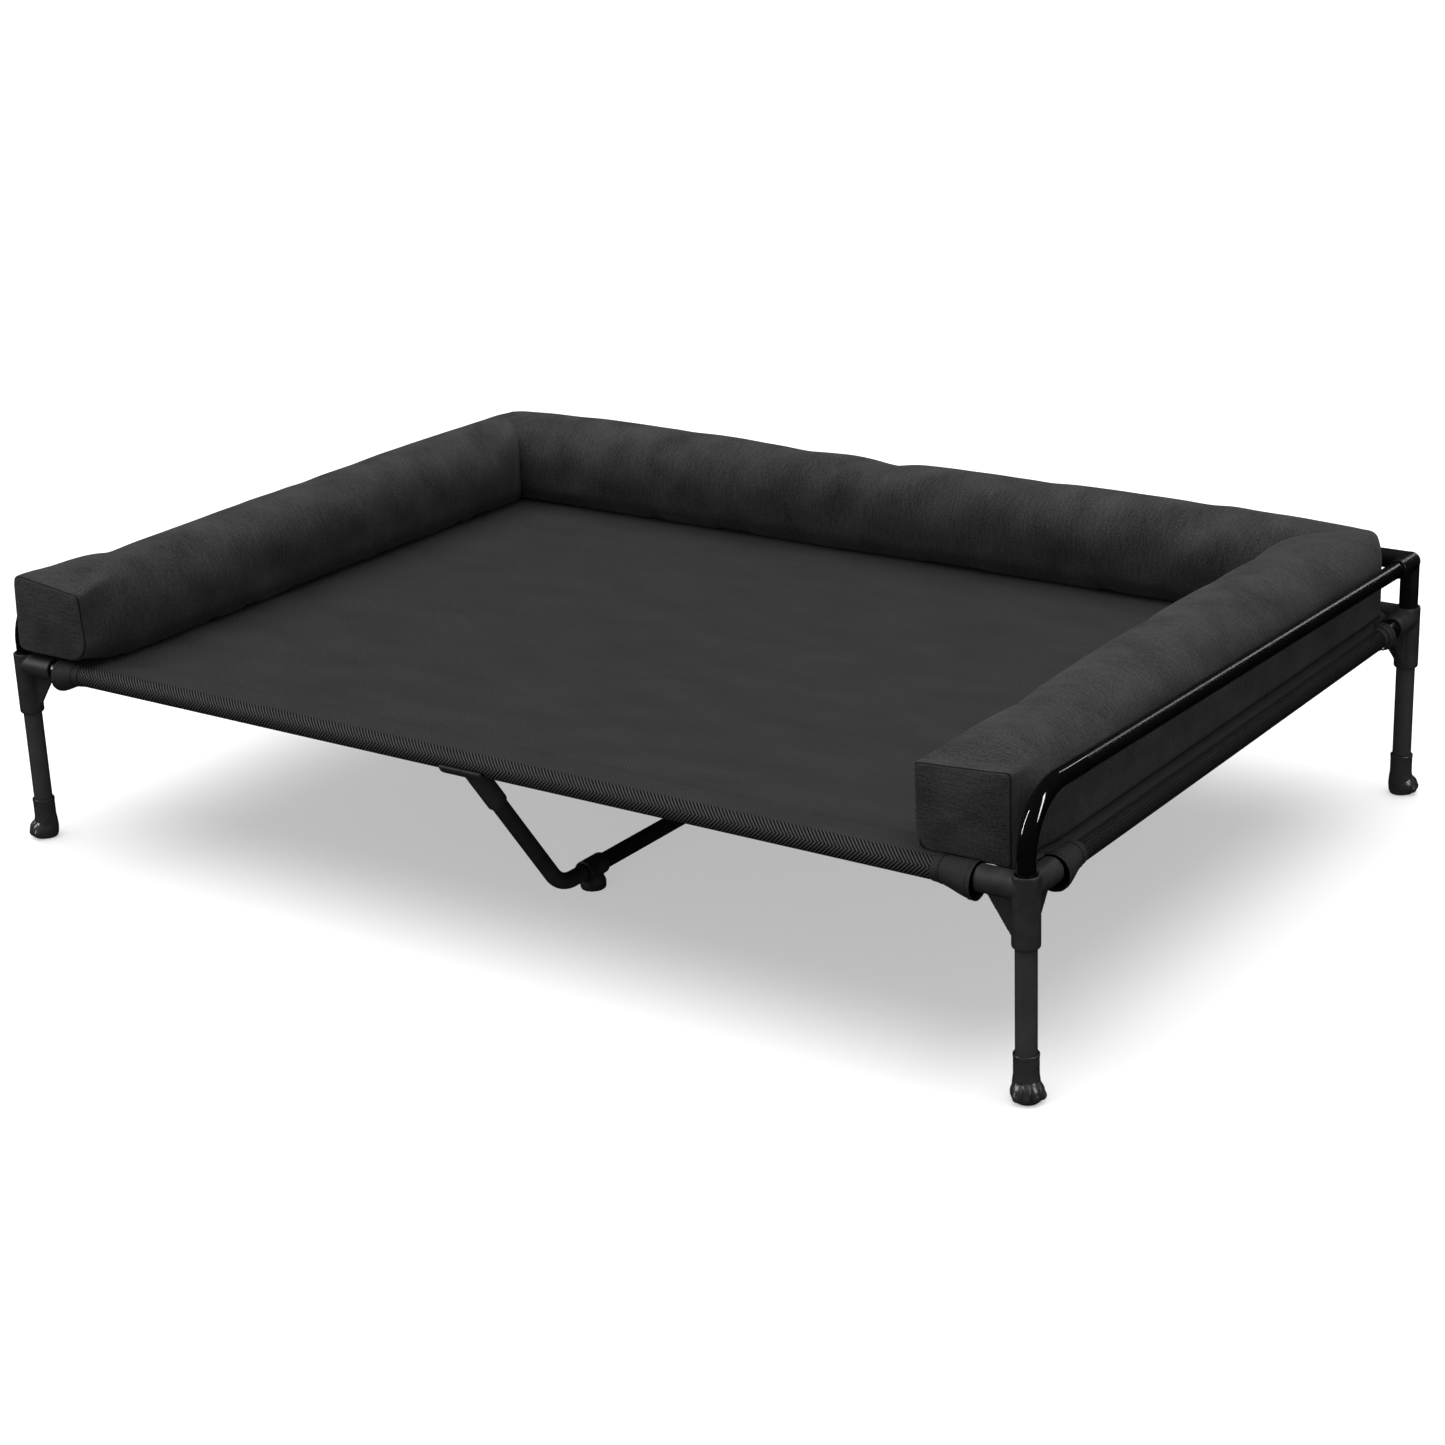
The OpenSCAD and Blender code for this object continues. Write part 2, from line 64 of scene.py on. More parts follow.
LEG_X, LEG_Y = middle("leg_back_right").xy
RAIL_Z = middle("rail_right").z
TUBE_R = extent("rail_right").x / 2
SLING_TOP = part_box("sling_panel")[1].z
SLEEVE_R = SLING_TOP - RAIL_Z
ARM_END = LEG_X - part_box("connector_front_right")[0].x      # connector arm's end, from the leg axis
ARM_R = extent("connector_front_right").x - ARM_END
CUFF_MOUTH = LEG_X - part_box("cuff_front_right")[1].x        # cuff's ends, from the leg axis
CUFF_START = LEG_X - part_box("cuff_front_right")[0].x
BOLSTER_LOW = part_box("cover_right")[0].z
BOLSTER_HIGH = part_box("cover_right")[1].z
SIDE_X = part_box("cover_right")[1].x                         # outer faces of the bolster
BACK_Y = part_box("cover_back")[1].y
LEFT_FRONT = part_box("cover_left")[0].y                      # front ends of its two arms
RIGHT_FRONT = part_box("cover_right")[0].y
BOLSTER_W = SIDE_X - (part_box("fill_right")[0].x - 0.0023)

CORNERS = {
    "front_left": (-1, -1),
    "front_right": (1, -1),
    "back_left": (-1, 1),
    "back_right": (1, 1),
}
SAG = 0.005                     # how far the middle of the sling hangs
CLOTH_T = 0.0011                # thickness of the sling's mesh
TUCK = 0.009                    # how far the sling's cut corners stay inside the leg axes


# ---------- small helpers ----------


def smooth(t):
    """Eases from 0 to 1."""
    t = min(1.0, max(0.0, t))
    return t * t * (3 - 2 * t)


def bump(x, width):
    """1 at x = 0, falling to nothing a few widths away."""
    return math.exp(-((x / width) ** 2))


def new_object(name, mesh):
    ob = bpy.data.objects.new(name, mesh)
    bpy.context.scene.collection.objects.link(ob)
    return ob


def new_mesh(name, points, faces, uvs=None):
    """A smooth-shaded mesh; uvs is one (u, v) a point, in metres of cloth."""
    mesh = bpy.data.meshes.new(name)
    mesh.from_pydata([tuple(p) for p in points], [], faces)
    mesh.update()
    if uvs is not None:
        layer = mesh.uv_layers.new(name="cloth")
        for loop in mesh.loops:
            layer.data[loop.index].uv = uvs[loop.vertex_index]
    mesh.shade_smooth()
    return mesh


def finish_piece(ob, material, body, replaced=()):
    ob.data.materials.clear()
    ob.data.materials.append(material)
    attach(ob, body)
    if replaced:
        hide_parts(*replaced)
    return ob


def apply_modifiers(ob):
    """Replaces the object's mesh by what its modifiers make of it."""
    graph = bpy.context.evaluated_depsgraph_get()
    made = bpy.data.meshes.new_from_object(ob.evaluated_get(graph))
    ob.modifiers.clear()
    old = ob.data
    ob.data = made
    made.name = ob.name
    bpy.data.meshes.remove(old)


def outward(mesh):
    """Turns a closed mesh's faces outward."""
    bm = bmesh.new()
    bm.from_mesh(mesh)
    bmesh.ops.recalc_face_normals(bm, faces=bm.faces)
    bm.to_mesh(mesh)
    bm.free()


def tube_faces(rings, around):
    """Quads between rings of points that follow each other."""
    faces = []
    for i in range(rings - 1):
        for k in range(around):
            a, b = i * around + k, i * around + (k + 1) % around
            faces.append((a, b, b + around, a + around))
    return faces


def loop_faces(rings, around):
    """Quads between rings that follow each other, the last joined to the first."""
    faces = []
    for k in range(rings):
        for i in range(around):
            a, b = k * around + i, k * around + (i + 1) % around
            onward = (k + 1) % rings * around
            faces.append((a, onward + i, onward + (i + 1) % around, b))
    return faces


def round_off(ob, voxel, rounds):
    """Remeshes an object in voxels and eases it, which rounds its edges and fills its corners."""
    remesh = ob.modifiers.new("remesh", "REMESH")
    remesh.mode = "VOXEL"
    remesh.voxel_size = voxel
    ease = ob.modifiers.new("ease", "SMOOTH")
    ease.factor = 0.5
    ease.iterations = rounds
    apply_modifiers(ob)


def distances(points):
    """Length run along a line of points, from its start to each of them."""
    steps = np.linalg.norm(np.diff(points, axis=0), axis=1)
    return np.concatenate([[0], np.cumsum(steps)])


def lathe(profile, turns):
    """Points and faces of a closed ring profile [(radius, z), ...] turned about Z."""
    points = [Vector((r * math.cos(a), r * math.sin(a), z))
              for a in (2 * math.pi * k / turns for k in range(turns)) for r, z in profile]
    return points, loop_faces(turns, len(profile))


# ---------- materials ----------


def shader(name, colour, roughness, **sockets):
    material = bpy.data.materials.new(name)
    material.use_nodes = True
    tree = material.node_tree
    bsdf = tree.nodes["Principled BSDF"]
    bsdf.inputs["Base Color"].default_value = (*colour, 1)
    bsdf.inputs["Roughness"].default_value = roughness
    for socket, value in sockets.items():
        bsdf.inputs[socket.replace("_", " ")].default_value = value
    return material, tree, bsdf


def add(tree, kind, inputs=None, output=0, **props):
    """Adds a shader node and returns one of its outputs; inputs are values or other outputs."""
    node = tree.nodes.new("ShaderNode" + kind)
    for key, value in props.items():
        setattr(node, key, value)
    for key, value in (inputs or {}).items():
        if isinstance(value, bpy.types.NodeSocket):
            tree.links.new(value, node.inputs[key])
        else:
            node.inputs[key].default_value = value
    return node.outputs[output]


def maths(tree, operation, a, b=0.0, c=0.0):
    return add(tree, "Math", {0: a, 1: b, 2: c}, operation=operation)


def times(tree, a, b):
    return maths(tree, "MULTIPLY", a, b)


def object_point(tree):
    return add(tree, "TexCoord", output=3)


def stretched(tree, point, scale):
    """The point scaled by a different amount along each axis."""
    return add(tree, "Mapping", {0: point, 3: scale})


def grain(tree, point, scale, detail=3.0, rough=0.5):
    """Noise from 0 to 1."""
    return add(tree, "TexNoise", {"Vector": point, "Scale": scale, "Detail": detail,
                                  "Roughness": rough})


def ranged(tree, value, low, high, start=0.0, end=1.0):
    """The value moved from start..end to low..high."""
    return add(tree, "MapRange", {0: value, 1: start, 2: end, 3: low, 4: high})


def blend_colours(tree, factor, a, b):
    return add(tree, "Mix", {0: factor, 6: (*a, 1), 7: (*b, 1)}, output=2, data_type="RGBA")


def link_surface(tree, bsdf, colour=None, roughness=None, height=None, depth=0.0005, strength=1.0):
    if colour is not None:
        tree.links.new(colour, bsdf.inputs["Base Color"])
    if roughness is not None:
        tree.links.new(roughness, bsdf.inputs["Roughness"])
    if height is not None:
        normal = add(tree, "Bump", {"Strength": strength, "Distance": depth, "Height": height})
        tree.links.new(normal, bsdf.inputs["Normal"])


def moulded(name, dark, light, rough_low, rough_high, shine):
    """Textured black plastic: fine spark-eroded grain, scuffs and a little dust."""
    material, tree, bsdf = shader(name, dark, rough_low, Specular_IOR_Level=shine)
    point = object_point(tree)
    fine = grain(tree, point, 1400, 2)
    broad = grain(tree, point, 55, 4)
    colour = blend_colours(tree, ranged(tree, broad, 0, 1, 0.35, 0.75), dark, light)
    height = maths(tree, "ADD", fine, times(tree, broad, 0.6))
    link_surface(tree, bsdf, colour, ranged(tree, broad, rough_low, rough_high), height,
                 0.00012, 0.55)
    return material


def coated(name, dark, light, rough_low, rough_high, peel, **sockets):
    """Powder-coated tube: orange peel in the coat, with faint handling marks."""
    material, tree, bsdf = shader(name, dark, rough_low, **sockets)
    point = object_point(tree)
    broad = grain(tree, point, 30, 3)
    orange = grain(tree, point, 420, 2)
    marks = grain(tree, stretched(tree, point, (260, 260, 30)), 1.0, 5, 0.6)
    colour = blend_colours(tree, ranged(tree, broad, 0, 1, 0.3, 0.8), dark, light)
    rough = maths(tree, "ADD", ranged(tree, broad, rough_low, rough_high),
                  ranged(tree, marks, 0, 0.10, 0.62, 0.80))
    link_surface(tree, bsdf, colour, rough, orange, peel, 0.6)
    return material


def steel():
    material, tree, bsdf = shader("bare_steel", (0.42, 0.42, 0.43), 0.3, Metallic=1.0)
    point = object_point(tree)
    brushed = grain(tree, stretched(tree, point, (900, 900, 60)), 1.0, 4, 0.6)
    link_surface(tree, bsdf, None, ranged(tree, brushed, 0.24, 0.46), brushed, 0.00005, 0.4)
    return material


def rubber():
    material, tree, bsdf = shader("foot_rubber", (0.010, 0.010, 0.011), 0.55)
    point = object_point(tree)
    fine = grain(tree, point, 900, 3)
    dust = grain(tree, point, 70, 5, 0.6)
    colour = blend_colours(tree, ranged(tree, dust, 0, 1, 0.45, 0.85), (0.009, 0.009, 0.010),
                           (0.024, 0.024, 0.024))
    link_surface(tree, bsdf, colour, ranged(tree, dust, 0.42, 0.68), fine, 0.0002, 0.6)
    return material


def cut_coordinates(tree):
    """Separate u and v of the flat cloth, in metres."""
    flat = add(tree, "UVMap", uv_map="cloth")
    node = tree.nodes.new("ShaderNodeSeparateXYZ")
    tree.links.new(flat, node.inputs[0])
    return flat, node.outputs[0], node.outputs[1]


def wave(tree, value, pitch):
    """Sine of a length, from 0 to 1, repeating every pitch."""
    turned = maths(tree, "SINE", times(tree, value, 2 * math.pi / pitch))
    return maths(tree, "MULTIPLY_ADD", turned, 0.5, 0.5)


def sling_cloth():
    """Coated mesh woven in a herringbone whose bands run along the bed. On the sleeves round the rails
    its relief is deeper and its twill is painted in stronger light and dark, painted shading of the
    yarn floats there; the side sleeves are painted darker still, painted shade."""
    band, pitch, yarn = 0.0156, 0.0044, 0.0014
    dark, light = (0.001, 0.001, 0.0011), (0.054, 0.054, 0.055)
    material, tree, bsdf = shader("sling_mesh", dark, 0.6, Specular_IOR_Level=0.22)
    flat, u, v = cut_coordinates(tree)
    beyond = maths(tree, "MAXIMUM",
                   maths(tree, "SUBTRACT", maths(tree, "ABSOLUTE", u), LEG_X),
                   maths(tree, "SUBTRACT", maths(tree, "ABSOLUTE", v), LEG_Y))
    # Sleeves: deeper relief, and stronger light and dark in the stripes, painted shading of the yarn
    # floats.
    sleeve_relief_and_shade = ranged(tree, beyond, 0.10, 1.0, -0.001, 0.005)
    bands = maths(tree, "PINGPONG", maths(tree, "ADD", v, LEG_Y), band)
    on_side = ranged(tree, maths(tree, "ABSOLUTE", u), 0, 1, LEG_X - 0.001, LEG_X + 0.002)
    chevrons = wave(tree, maths(tree, "SUBTRACT", u, bands), pitch)
    dots = times(tree, wave(tree, u, 0.0034),
                 times(tree, wave(tree, v, 0.0040), 2.0))
    picks = add(tree, "Mix", {0: on_side, 2: chevrons, 3: dots}, data_type="FLOAT")
    twill = ranged(tree, picks, -0.8, 0.8, 0.30, 0.80)
    yarns = times(tree, wave(tree, u, yarn), wave(tree, v, yarn))
    cloudy = grain(tree, stretched(tree, flat, (9, 22, 1)), 1.0, 4)
    stripes = maths(tree, "MULTIPLY_ADD", twill, sleeve_relief_and_shade, ranged(tree, sleeve_relief_and_shade, 0.44, 0.24))
    worn = ranged(tree, cloudy, 0.88, 1.08, 0.3, 0.7)
    # On the side sleeves the tone falls to a fifth: painted shade.
    tone = times(tree, maths(tree, "MULTIPLY_ADD", yarns, 0.2, stripes),
                 times(tree, worn, ranged(tree, on_side, 1.0, 0.2)))
    height = maths(tree, "MULTIPLY_ADD", yarns, 0.35, times(tree, twill, sleeve_relief_and_shade))
    link_surface(tree, bsdf, blend_colours(tree, tone, dark, light),
                 ranged(tree, twill, 0.70, 0.55, -0.5, 0.5), height, 0.0009, 0.8)
    return material


def bolster_cloth():
    """Brushed charcoal canvas: fine plain weave, soft streaks across the arm, and lint."""
    dark, light = (0.009, 0.009, 0.0092), (0.043, 0.043, 0.0434)
    material, tree, bsdf = shader("cover_cloth", dark, 0.9, Sheen_Weight=0.06,
                                  Sheen_Roughness=0.5, Specular_IOR_Level=0.12)
    flat, u, v = cut_coordinates(tree)
    weave = times(tree, wave(tree, u, 0.0013), wave(tree, v, 0.0013))
    streaks = grain(tree, stretched(tree, flat, (45, 520, 45)), 1.0, 3, 0.55)
    cloudy = grain(tree, stretched(tree, flat, (16, 16, 16)), 1.0, 4)
    lint = grain(tree, stretched(tree, flat, (380, 380, 380)), 1.0, 3, 0.65)
    tone = maths(tree, "MULTIPLY_ADD", lint, 0.75,
                 maths(tree, "MULTIPLY_ADD", streaks, 0.45, times(tree, cloudy, 0.5)))
    colour = blend_colours(tree, ranged(tree, tone, 0, 1, 0.64, 1.03), dark, light)
    height = maths(tree, "MULTIPLY_ADD", weave, 0.6,
                   maths(tree, "MULTIPLY_ADD", streaks, 0.9, lint))
    link_surface(tree, bsdf, colour, ranged(tree, lint, 0.78, 0.95), height, 0.0005, 0.7)
    return material


def tape():
    """Ribbed binding tape."""
    dark, light = (0.012, 0.012, 0.0122), (0.030, 0.030, 0.0305)
    material, tree, bsdf = shader("binding_tape", dark, 0.75, Specular_IOR_Level=0.2)
    _, u, v = cut_coordinates(tree)
    ribs = wave(tree, v, 0.0018)
    fine = wave(tree, u, 0.0011)
    worn = grain(tree, object_point(tree), 160, 4)
    height = maths(tree, "MULTIPLY_ADD", fine, 0.4, ribs)
    colour = blend_colours(tree, times(tree, ribs, ranged(tree, worn, 0.5, 1.1)), dark,
                           light)
    link_surface(tree, bsdf, colour, ranged(tree, worn, 0.6, 0.85), height, 0.0003, 0.6)
    return material


def sewing_thread():
    material, tree, bsdf = shader("thread", (0.012, 0.012, 0.012), 0.6, Specular_IOR_Level=0.15)
    twisted = grain(tree, object_point(tree), 2200, 2)
    colour = blend_colours(tree, twisted, (0.003, 0.003, 0.003), (0.010, 0.010, 0.010))
    link_surface(tree, bsdf, colour, None, twisted, 0.0002, 0.6)
    return material


def studio_floor():
    material, tree, bsdf = shader("floor", (0.56, 0.56, 0.56), 0.8, Specular_IOR_Level=0.0,
                                  Emission_Color=(1, 1, 1, 1), Emission_Strength=0.44)
    cloudy = grain(tree, object_point(tree), 3, 3)
    colour = blend_colours(tree, cloudy, (0.555, 0.555, 0.555), (0.565, 0.565, 0.565))
    link_surface(tree, bsdf, colour)
    return material


CONNECTOR_PLASTIC = moulded("moulded_plastic", (0.022, 0.022, 0.0225), (0.033, 0.033, 0.0336),
                            0.42, 0.55, 0.18)
PAW_PLASTIC = moulded("paw_plastic", (0.027, 0.027, 0.0275), (0.038, 0.038, 0.0388),
                      0.22, 0.34, 0.40)
ELBOW_PLASTIC = moulded("elbow_plastic", (0.005, 0.005, 0.0052), (0.009, 0.009, 0.0092),
                        0.26, 0.36, 0.32)
LEG_COAT = coated("powder_coat", (0.036, 0.036, 0.0367), (0.050, 0.050, 0.051), 0.30, 0.42,
                  0.00012, Specular_IOR_Level=0.30)
GUARD_COAT = coated("satin_coat", (0.0025, 0.0025, 0.0026), (0.0042, 0.0042, 0.0043), 0.20, 0.28,
                    0.00005, Specular_IOR_Level=0.4)
GLOSS_COAT = coated("gloss_coat", (0.0025, 0.0025, 0.0026), (0.0042, 0.0042, 0.0043), 0.05, 0.10,
                    0.00003, Specular_IOR_Level=0.5)
# Brace legs and floor bar: darker copies of the tube coat, painted shade from the bed above them; the
# bar's higher gloss is its own.
SHADED_BRACE_COAT = coated("brace_coat_painted_shade", (0.014, 0.014, 0.0143), (0.022, 0.022, 0.0225), 0.24, 0.36,
                    0.0001, Specular_IOR_Level=0.3)
SHADED_BAR_COAT = coated("bar_coat_painted_shade", (0.005, 0.005, 0.0051), (0.009, 0.009, 0.0092), 0.16, 0.24,
                  0.00005, Specular_IOR_Level=0.4)
STEEL = steel()
RUBBER = rubber()
SLING = sling_cloth()
COVER = bolster_cloth()
TAPE = tape()
THREAD = sewing_thread()


# ---------- camera, light and floor ----------


def set_camera():
    """The camera of a low view over the right front corner."""
    yaw, pitch, roll = (math.radians(a) for a in (35.396, 20.091, -2.245))
    place = Vector((1.9030, -2.6679, 1.3158))
    ahead = Vector((-math.sin(yaw) * math.cos(pitch), math.cos(yaw) * math.cos(pitch), -math.sin(pitch)))
    right = Vector((math.cos(yaw), math.sin(yaw), 0))
    up = right.cross(ahead)
    right, up = (right * math.cos(roll) + up * math.sin(roll),
                 up * math.cos(roll) - right * math.sin(roll))
    data = bpy.data.cameras.new("camera")
    data.sensor_width = 36
    data.lens = 72.80
    data.clip_end = 100
    camera = new_object("camera", data)
    turn = Matrix((right, up, -ahead)).transposed().to_4x4()
    camera.matrix_world = Matrix.Translation(place) @ turn
    bpy.context.scene.camera = camera


def set_light():
    scene = bpy.context.scene
    scene.view_settings.view_transform = "Standard"
    world = bpy.data.worlds.new("studio")
    world.use_nodes = True
    background = world.node_tree.nodes["Background"]
    background.inputs["Color"].default_value = (1, 1, 1, 1)
    background.inputs["Strength"].default_value = 0.34
    scene.world = world
    world.cycles_visibility.glossy = False
    sun = bpy.data.lights.new("overhead", "SUN")
    sun.energy = 4.1
    sun.angle = math.radians(80)
    ob = new_object("overhead", sun)
    ob.rotation_euler = (math.radians(-2), math.radians(-6), 0)
    ob.visible_glossy = False
    for name, place, size, power, glossy in (
        ("strip_left", (-2.4, -2.2, 2.0), (0.18, 2.2), 85, True),
        ("strip_right", (2.9, -0.3, 1.9), (0.36, 2.4), 70, True),
        ("fill_right", (3.6, -0.2, 1.1), (2.6, 1.4), 3, False),
        ("strip_back", (0.9, 3.6, 2.4), (0.30, 2.4), 13, True),
        ("fill_front", (0.6, -4.2, 1.2), (2.6, 1.4), 20, False),
    ):
        data = bpy.data.lights.new(name, "AREA")
        data.shape = "RECTANGLE"
        data.size, data.size_y = size
        data.energy = power
        box = new_object(name, data)
        box.location = place
        box.visible_glossy = glossy
        box.visible_diffuse = not glossy
        aim = Vector((0.3, -0.1, 0.25)) - Vector(place)
        box.rotation_euler = aim.to_track_quat("-Z", "Y").to_euler()


def lay_floor():
    half = 40.0
    mesh = new_mesh("floor", [(-half, -half, 0), (half, -half, 0), (half, half, 0), (-half, half, 0)],
                    [(0, 1, 2, 3)])
    mesh.materials.append(studio_floor())
    floor = new_object("floor", mesh)
    floor.visible_diffuse = False
    floor.visible_glossy = False


# ---------- moulded and tubular parts ----------


def softened(name, node, voxel, rounds, material):
    """Stands for a CAD node with its edges rounded and its corners filled, as a moulding has."""
    ob = new_object(name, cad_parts[node].data.copy())
    round_off(ob, voxel, rounds)
    ob.data.shade_smooth()
    finish_piece(ob, material, "guard" if node.startswith("guard") else "frame", [node])


def capsule(bm, start, end, r_start, r_end):
    """Adds a rounded finger from start to end."""
    start, end = Vector(start), Vector(end)
    turn = (end - start).to_track_quat("Z", "Y").to_matrix().to_4x4()
    length = (end - start).length
    rings, around = 7, 20
    rows = []
    for i in range(2 * rings):
        a = -math.pi / 2 + math.pi * (i + 0.5) / (2 * rings)
        r = r_start if a < 0 else r_end
        z = r * math.sin(a) + (length if a >= 0 else 0)
        ring = [bm.verts.new((Matrix.Translation(start) @ turn)
                             @ Vector((r * math.cos(a) * math.cos(t), r * math.cos(a) * math.sin(t), z)))
                for t in (2 * math.pi * k / around for k in range(around))]
        rows.append(ring)
    for low, high in zip(rows, rows[1:], strict=False):
        for k in range(around):
            bm.faces.new((low[k], low[(k + 1) % around], high[(k + 1) % around], high[k]))
    bm.faces.new(reversed(rows[0]))
    bm.faces.new(rows[-1])


def paw_mesh():
    """A paw foot with its toes towards +X: collar, ankle and a rounded paw with four toes."""
    foot_h = extent("paw_front_right").z
    leg_hole = TUBE_R + 0.0007
    collar = 0.0133
    bm = bmesh.new()
    profile = [(leg_hole, 0.016), (leg_hole, foot_h - 0.001), (leg_hole + 0.0005, foot_h),
               (collar - 0.0006, foot_h), (collar, foot_h - 0.0006), (collar, foot_h - 0.0034),
               (collar - 0.0004, foot_h - 0.0042), (collar - 0.0004, 0.028), (collar + 0.0006, 0.020),
               (collar + 0.0010, 0.012), (collar + 0.0002, 0.004), (collar - 0.0016, 0.0),
               (0.001, 0.0), (0.001, 0.016)]
    points, faces = lathe(profile, 56)
    verts = [bm.verts.new(p) for p in points]
    for f in faces:
        bm.faces.new([verts[i] for i in f])
    body = Matrix.Translation((0.0036, 0, 0.0105)) @ Matrix.Diagonal((0.0172, 0.0170, 0.0140, 1))
    bmesh.ops.create_uvsphere(bm, u_segments=40, v_segments=24, radius=1.0, matrix=body)
    for side in (-1, 1):
        capsule(bm, (0.0150, side * 0.0043, 0.0085), (0.0095, side * 0.0036, 0.0195), 0.0062, 0.0046)
        capsule(bm, (0.0105, side * 0.0122, 0.0080), (0.0060, side * 0.0098, 0.0175), 0.0052, 0.0042)
    mesh = bpy.data.meshes.new("paw")
    bmesh.ops.recalc_face_normals(bm, faces=bm.faces)
    bm.to_mesh(mesh)
    bm.free()
    ob = new_object("paw_source", mesh)
    round_off(ob, 0.0007, 4)
    mesh = ob.data
    bpy.data.objects.remove(ob)
    for v in mesh.vertices:
        p = v.co
        ahead = (smooth((p.x - 0.006) / 0.006) * smooth((0.024 - p.z) / 0.005)
                 * smooth((p.z - 0.003) / 0.004))
        groove = sum(bump(p.y - y, 0.0010) for y in (-0.0084, 0.0, 0.0084))
        v.co.x -= 0.0026 * ahead * groove
        v.co.z = max(0.0, p.z)
    mesh.shade_smooth()
    return mesh


def make_paws():
    shape = paw_mesh()
    for name, (sx, sy) in CORNERS.items():
        turn = (Matrix.Translation((sx * LEG_X, sy * LEG_Y, 0))
                @ Matrix.Rotation(math.atan2(sy, sx), 4, "Z"))
        mesh = shape.copy()
        mesh.transform(turn)
        foot = new_object("paw_foot_" + name, mesh)
        finish_piece(foot, PAW_PLASTIC, "frame", ["paw_" + name])
    bpy.data.meshes.remove(shape)


def make_mouldings():
    for name in CORNERS:
        softened("moulded_connector_" + name, "connector_" + name, 0.0010, 5, CONNECTOR_PLASTIC)
    for end in ("front", "back"):
        softened("moulded_clip_" + end, "brace_clip_" + end, 0.0009, 4, CONNECTOR_PLASTIC)
        softened("moulded_brace_foot_" + end, "brace_foot_" + end, 0.0009, 3, RUBBER)
    for side in ("left", "right"):
        softened("moulded_elbow_" + side, "guard_elbow_" + side, 0.0009, 3, ELBOW_PLASTIC)


def finish_tubes():
    """Materials of the CAD nodes that stay: tubes, joiners and buttons."""
    looks = {"leg_": LEG_COAT, "rail_": GUARD_COAT, "brace_leg": SHADED_BRACE_COAT, "brace_bar": SHADED_BAR_COAT,
             "brace_button": STEEL, "guard_post": GLOSS_COAT, "guard_side": GUARD_COAT,
             "guard_back": GUARD_COAT, "guard_joiner": STEEL, "rail_joiner": STEEL}
    for node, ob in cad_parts.items():
        for start, material in looks.items():
            if node.startswith(start):
                ob.data.materials.clear()
                ob.data.materials.append(material)


# ---------- sewing ----------


def stitches(name, lines, step, length, body):
    """One mesh of small thread stitches along lines, each a list of (point, normal)."""
    points, faces = [], []
    radius, sides = 0.00038, 5
    for line in lines:
        places = np.array([p for p, _ in line], float)
        normals = np.array([n for _, n in line], float)
        along = distances(places)
        at = np.arange(step / 2, along[-1] - step / 2, step)
        for s in at:
            ring_start = len(points)
            ends = []
            for f in (-0.5, -0.25, 0.25, 0.5):
                q = s + f * length
                p = Vector([np.interp(q, along, places[:, k]) for k in range(3)])
                n = Vector([np.interp(q, along, normals[:, k]) for k in range(3)]).normalized()
                ends.append((p + n * (0.00022 if abs(f) < 0.3 else -0.0005), n))
            ahead = (ends[-1][0] - ends[0][0]).normalized()
            for p, n in ends:
                across = ahead.cross(n)
                for k in range(sides):
                    a = 2 * math.pi * k / sides
                    points.append(p + (across * math.cos(a) + n * math.sin(a)) * radius)
            faces += [tuple(ring_start + q for q in face) for face in tube_faces(4, sides)]
            faces.append(tuple(ring_start + k for k in reversed(range(sides))))
            faces.append(tuple(ring_start + 3 * sides + k for k in range(sides)))
    mesh = new_mesh(name, points, faces)
    outward(mesh)
    return finish_piece(new_object(name, mesh), THREAD, body)


# ---------- sling ----------


def sling_height(x, y):
    """Height of the sling's upper face: taut at the rails, hanging a little in the middle."""
    inside = max(0.0, 1 - (x / LEG_X) ** 2) * max(0.0, 1 - (y / LEG_Y) ** 2)
    ripple = noise.noise(Vector((x * 2.2, y * 16, 3.7))) * 0.0009 * smooth(inside * 5)
    fold = 0.0006 * bump(abs(y) - LEG_Y + 0.036, 0.004) * smooth(inside * 12)
    return SLING_TOP - SAG * inside + ripple - fold


def sleeve_path():
    """Section of a sleeve from the panel's edge round the rail to its sewn hem, as a list of
    (inward, height over the rail axis, cut length so far)."""
    hem_in, hem_z = 0.036, SLEEVE_R - 2 * CLOTH_T - 0.0003
    reach = math.hypot(hem_in, hem_z)
    last = math.degrees(math.atan2(hem_z, hem_in) - math.acos(SLEEVE_R / reach)) + 270
    steps = 22
    path = []
    for i in range(1, steps + 1):
        a = math.radians(last) * i / steps
        path.append((-SLEEVE_R * math.sin(a), SLEEVE_R * math.cos(a), SLEEVE_R * a))
    x0, z0, cut = path[-1]
    straight = math.hypot(hem_in - x0, hem_z - z0)
    for i in range(1, 5):
        path.append((x0 + (hem_in - x0) * i / 4, z0 + (hem_z - z0) * i / 4, cut + straight * i / 4))
    path.append((hem_in + 0.006, hem_z, cut + straight + 0.006))
    return path


def stations(half, corner, pitch):
    """Grid lines from -half to half, with five equal steps across each cut-off corner."""
    inner = half - corner
    count = round(2 * inner / pitch)
    ends = [half - corner * i / 5 for i in range(5)]
    core = [inner - 2 * inner * i / count for i in range(count + 1)]
    return sorted([*ends, *core, *[-e for e in ends]])


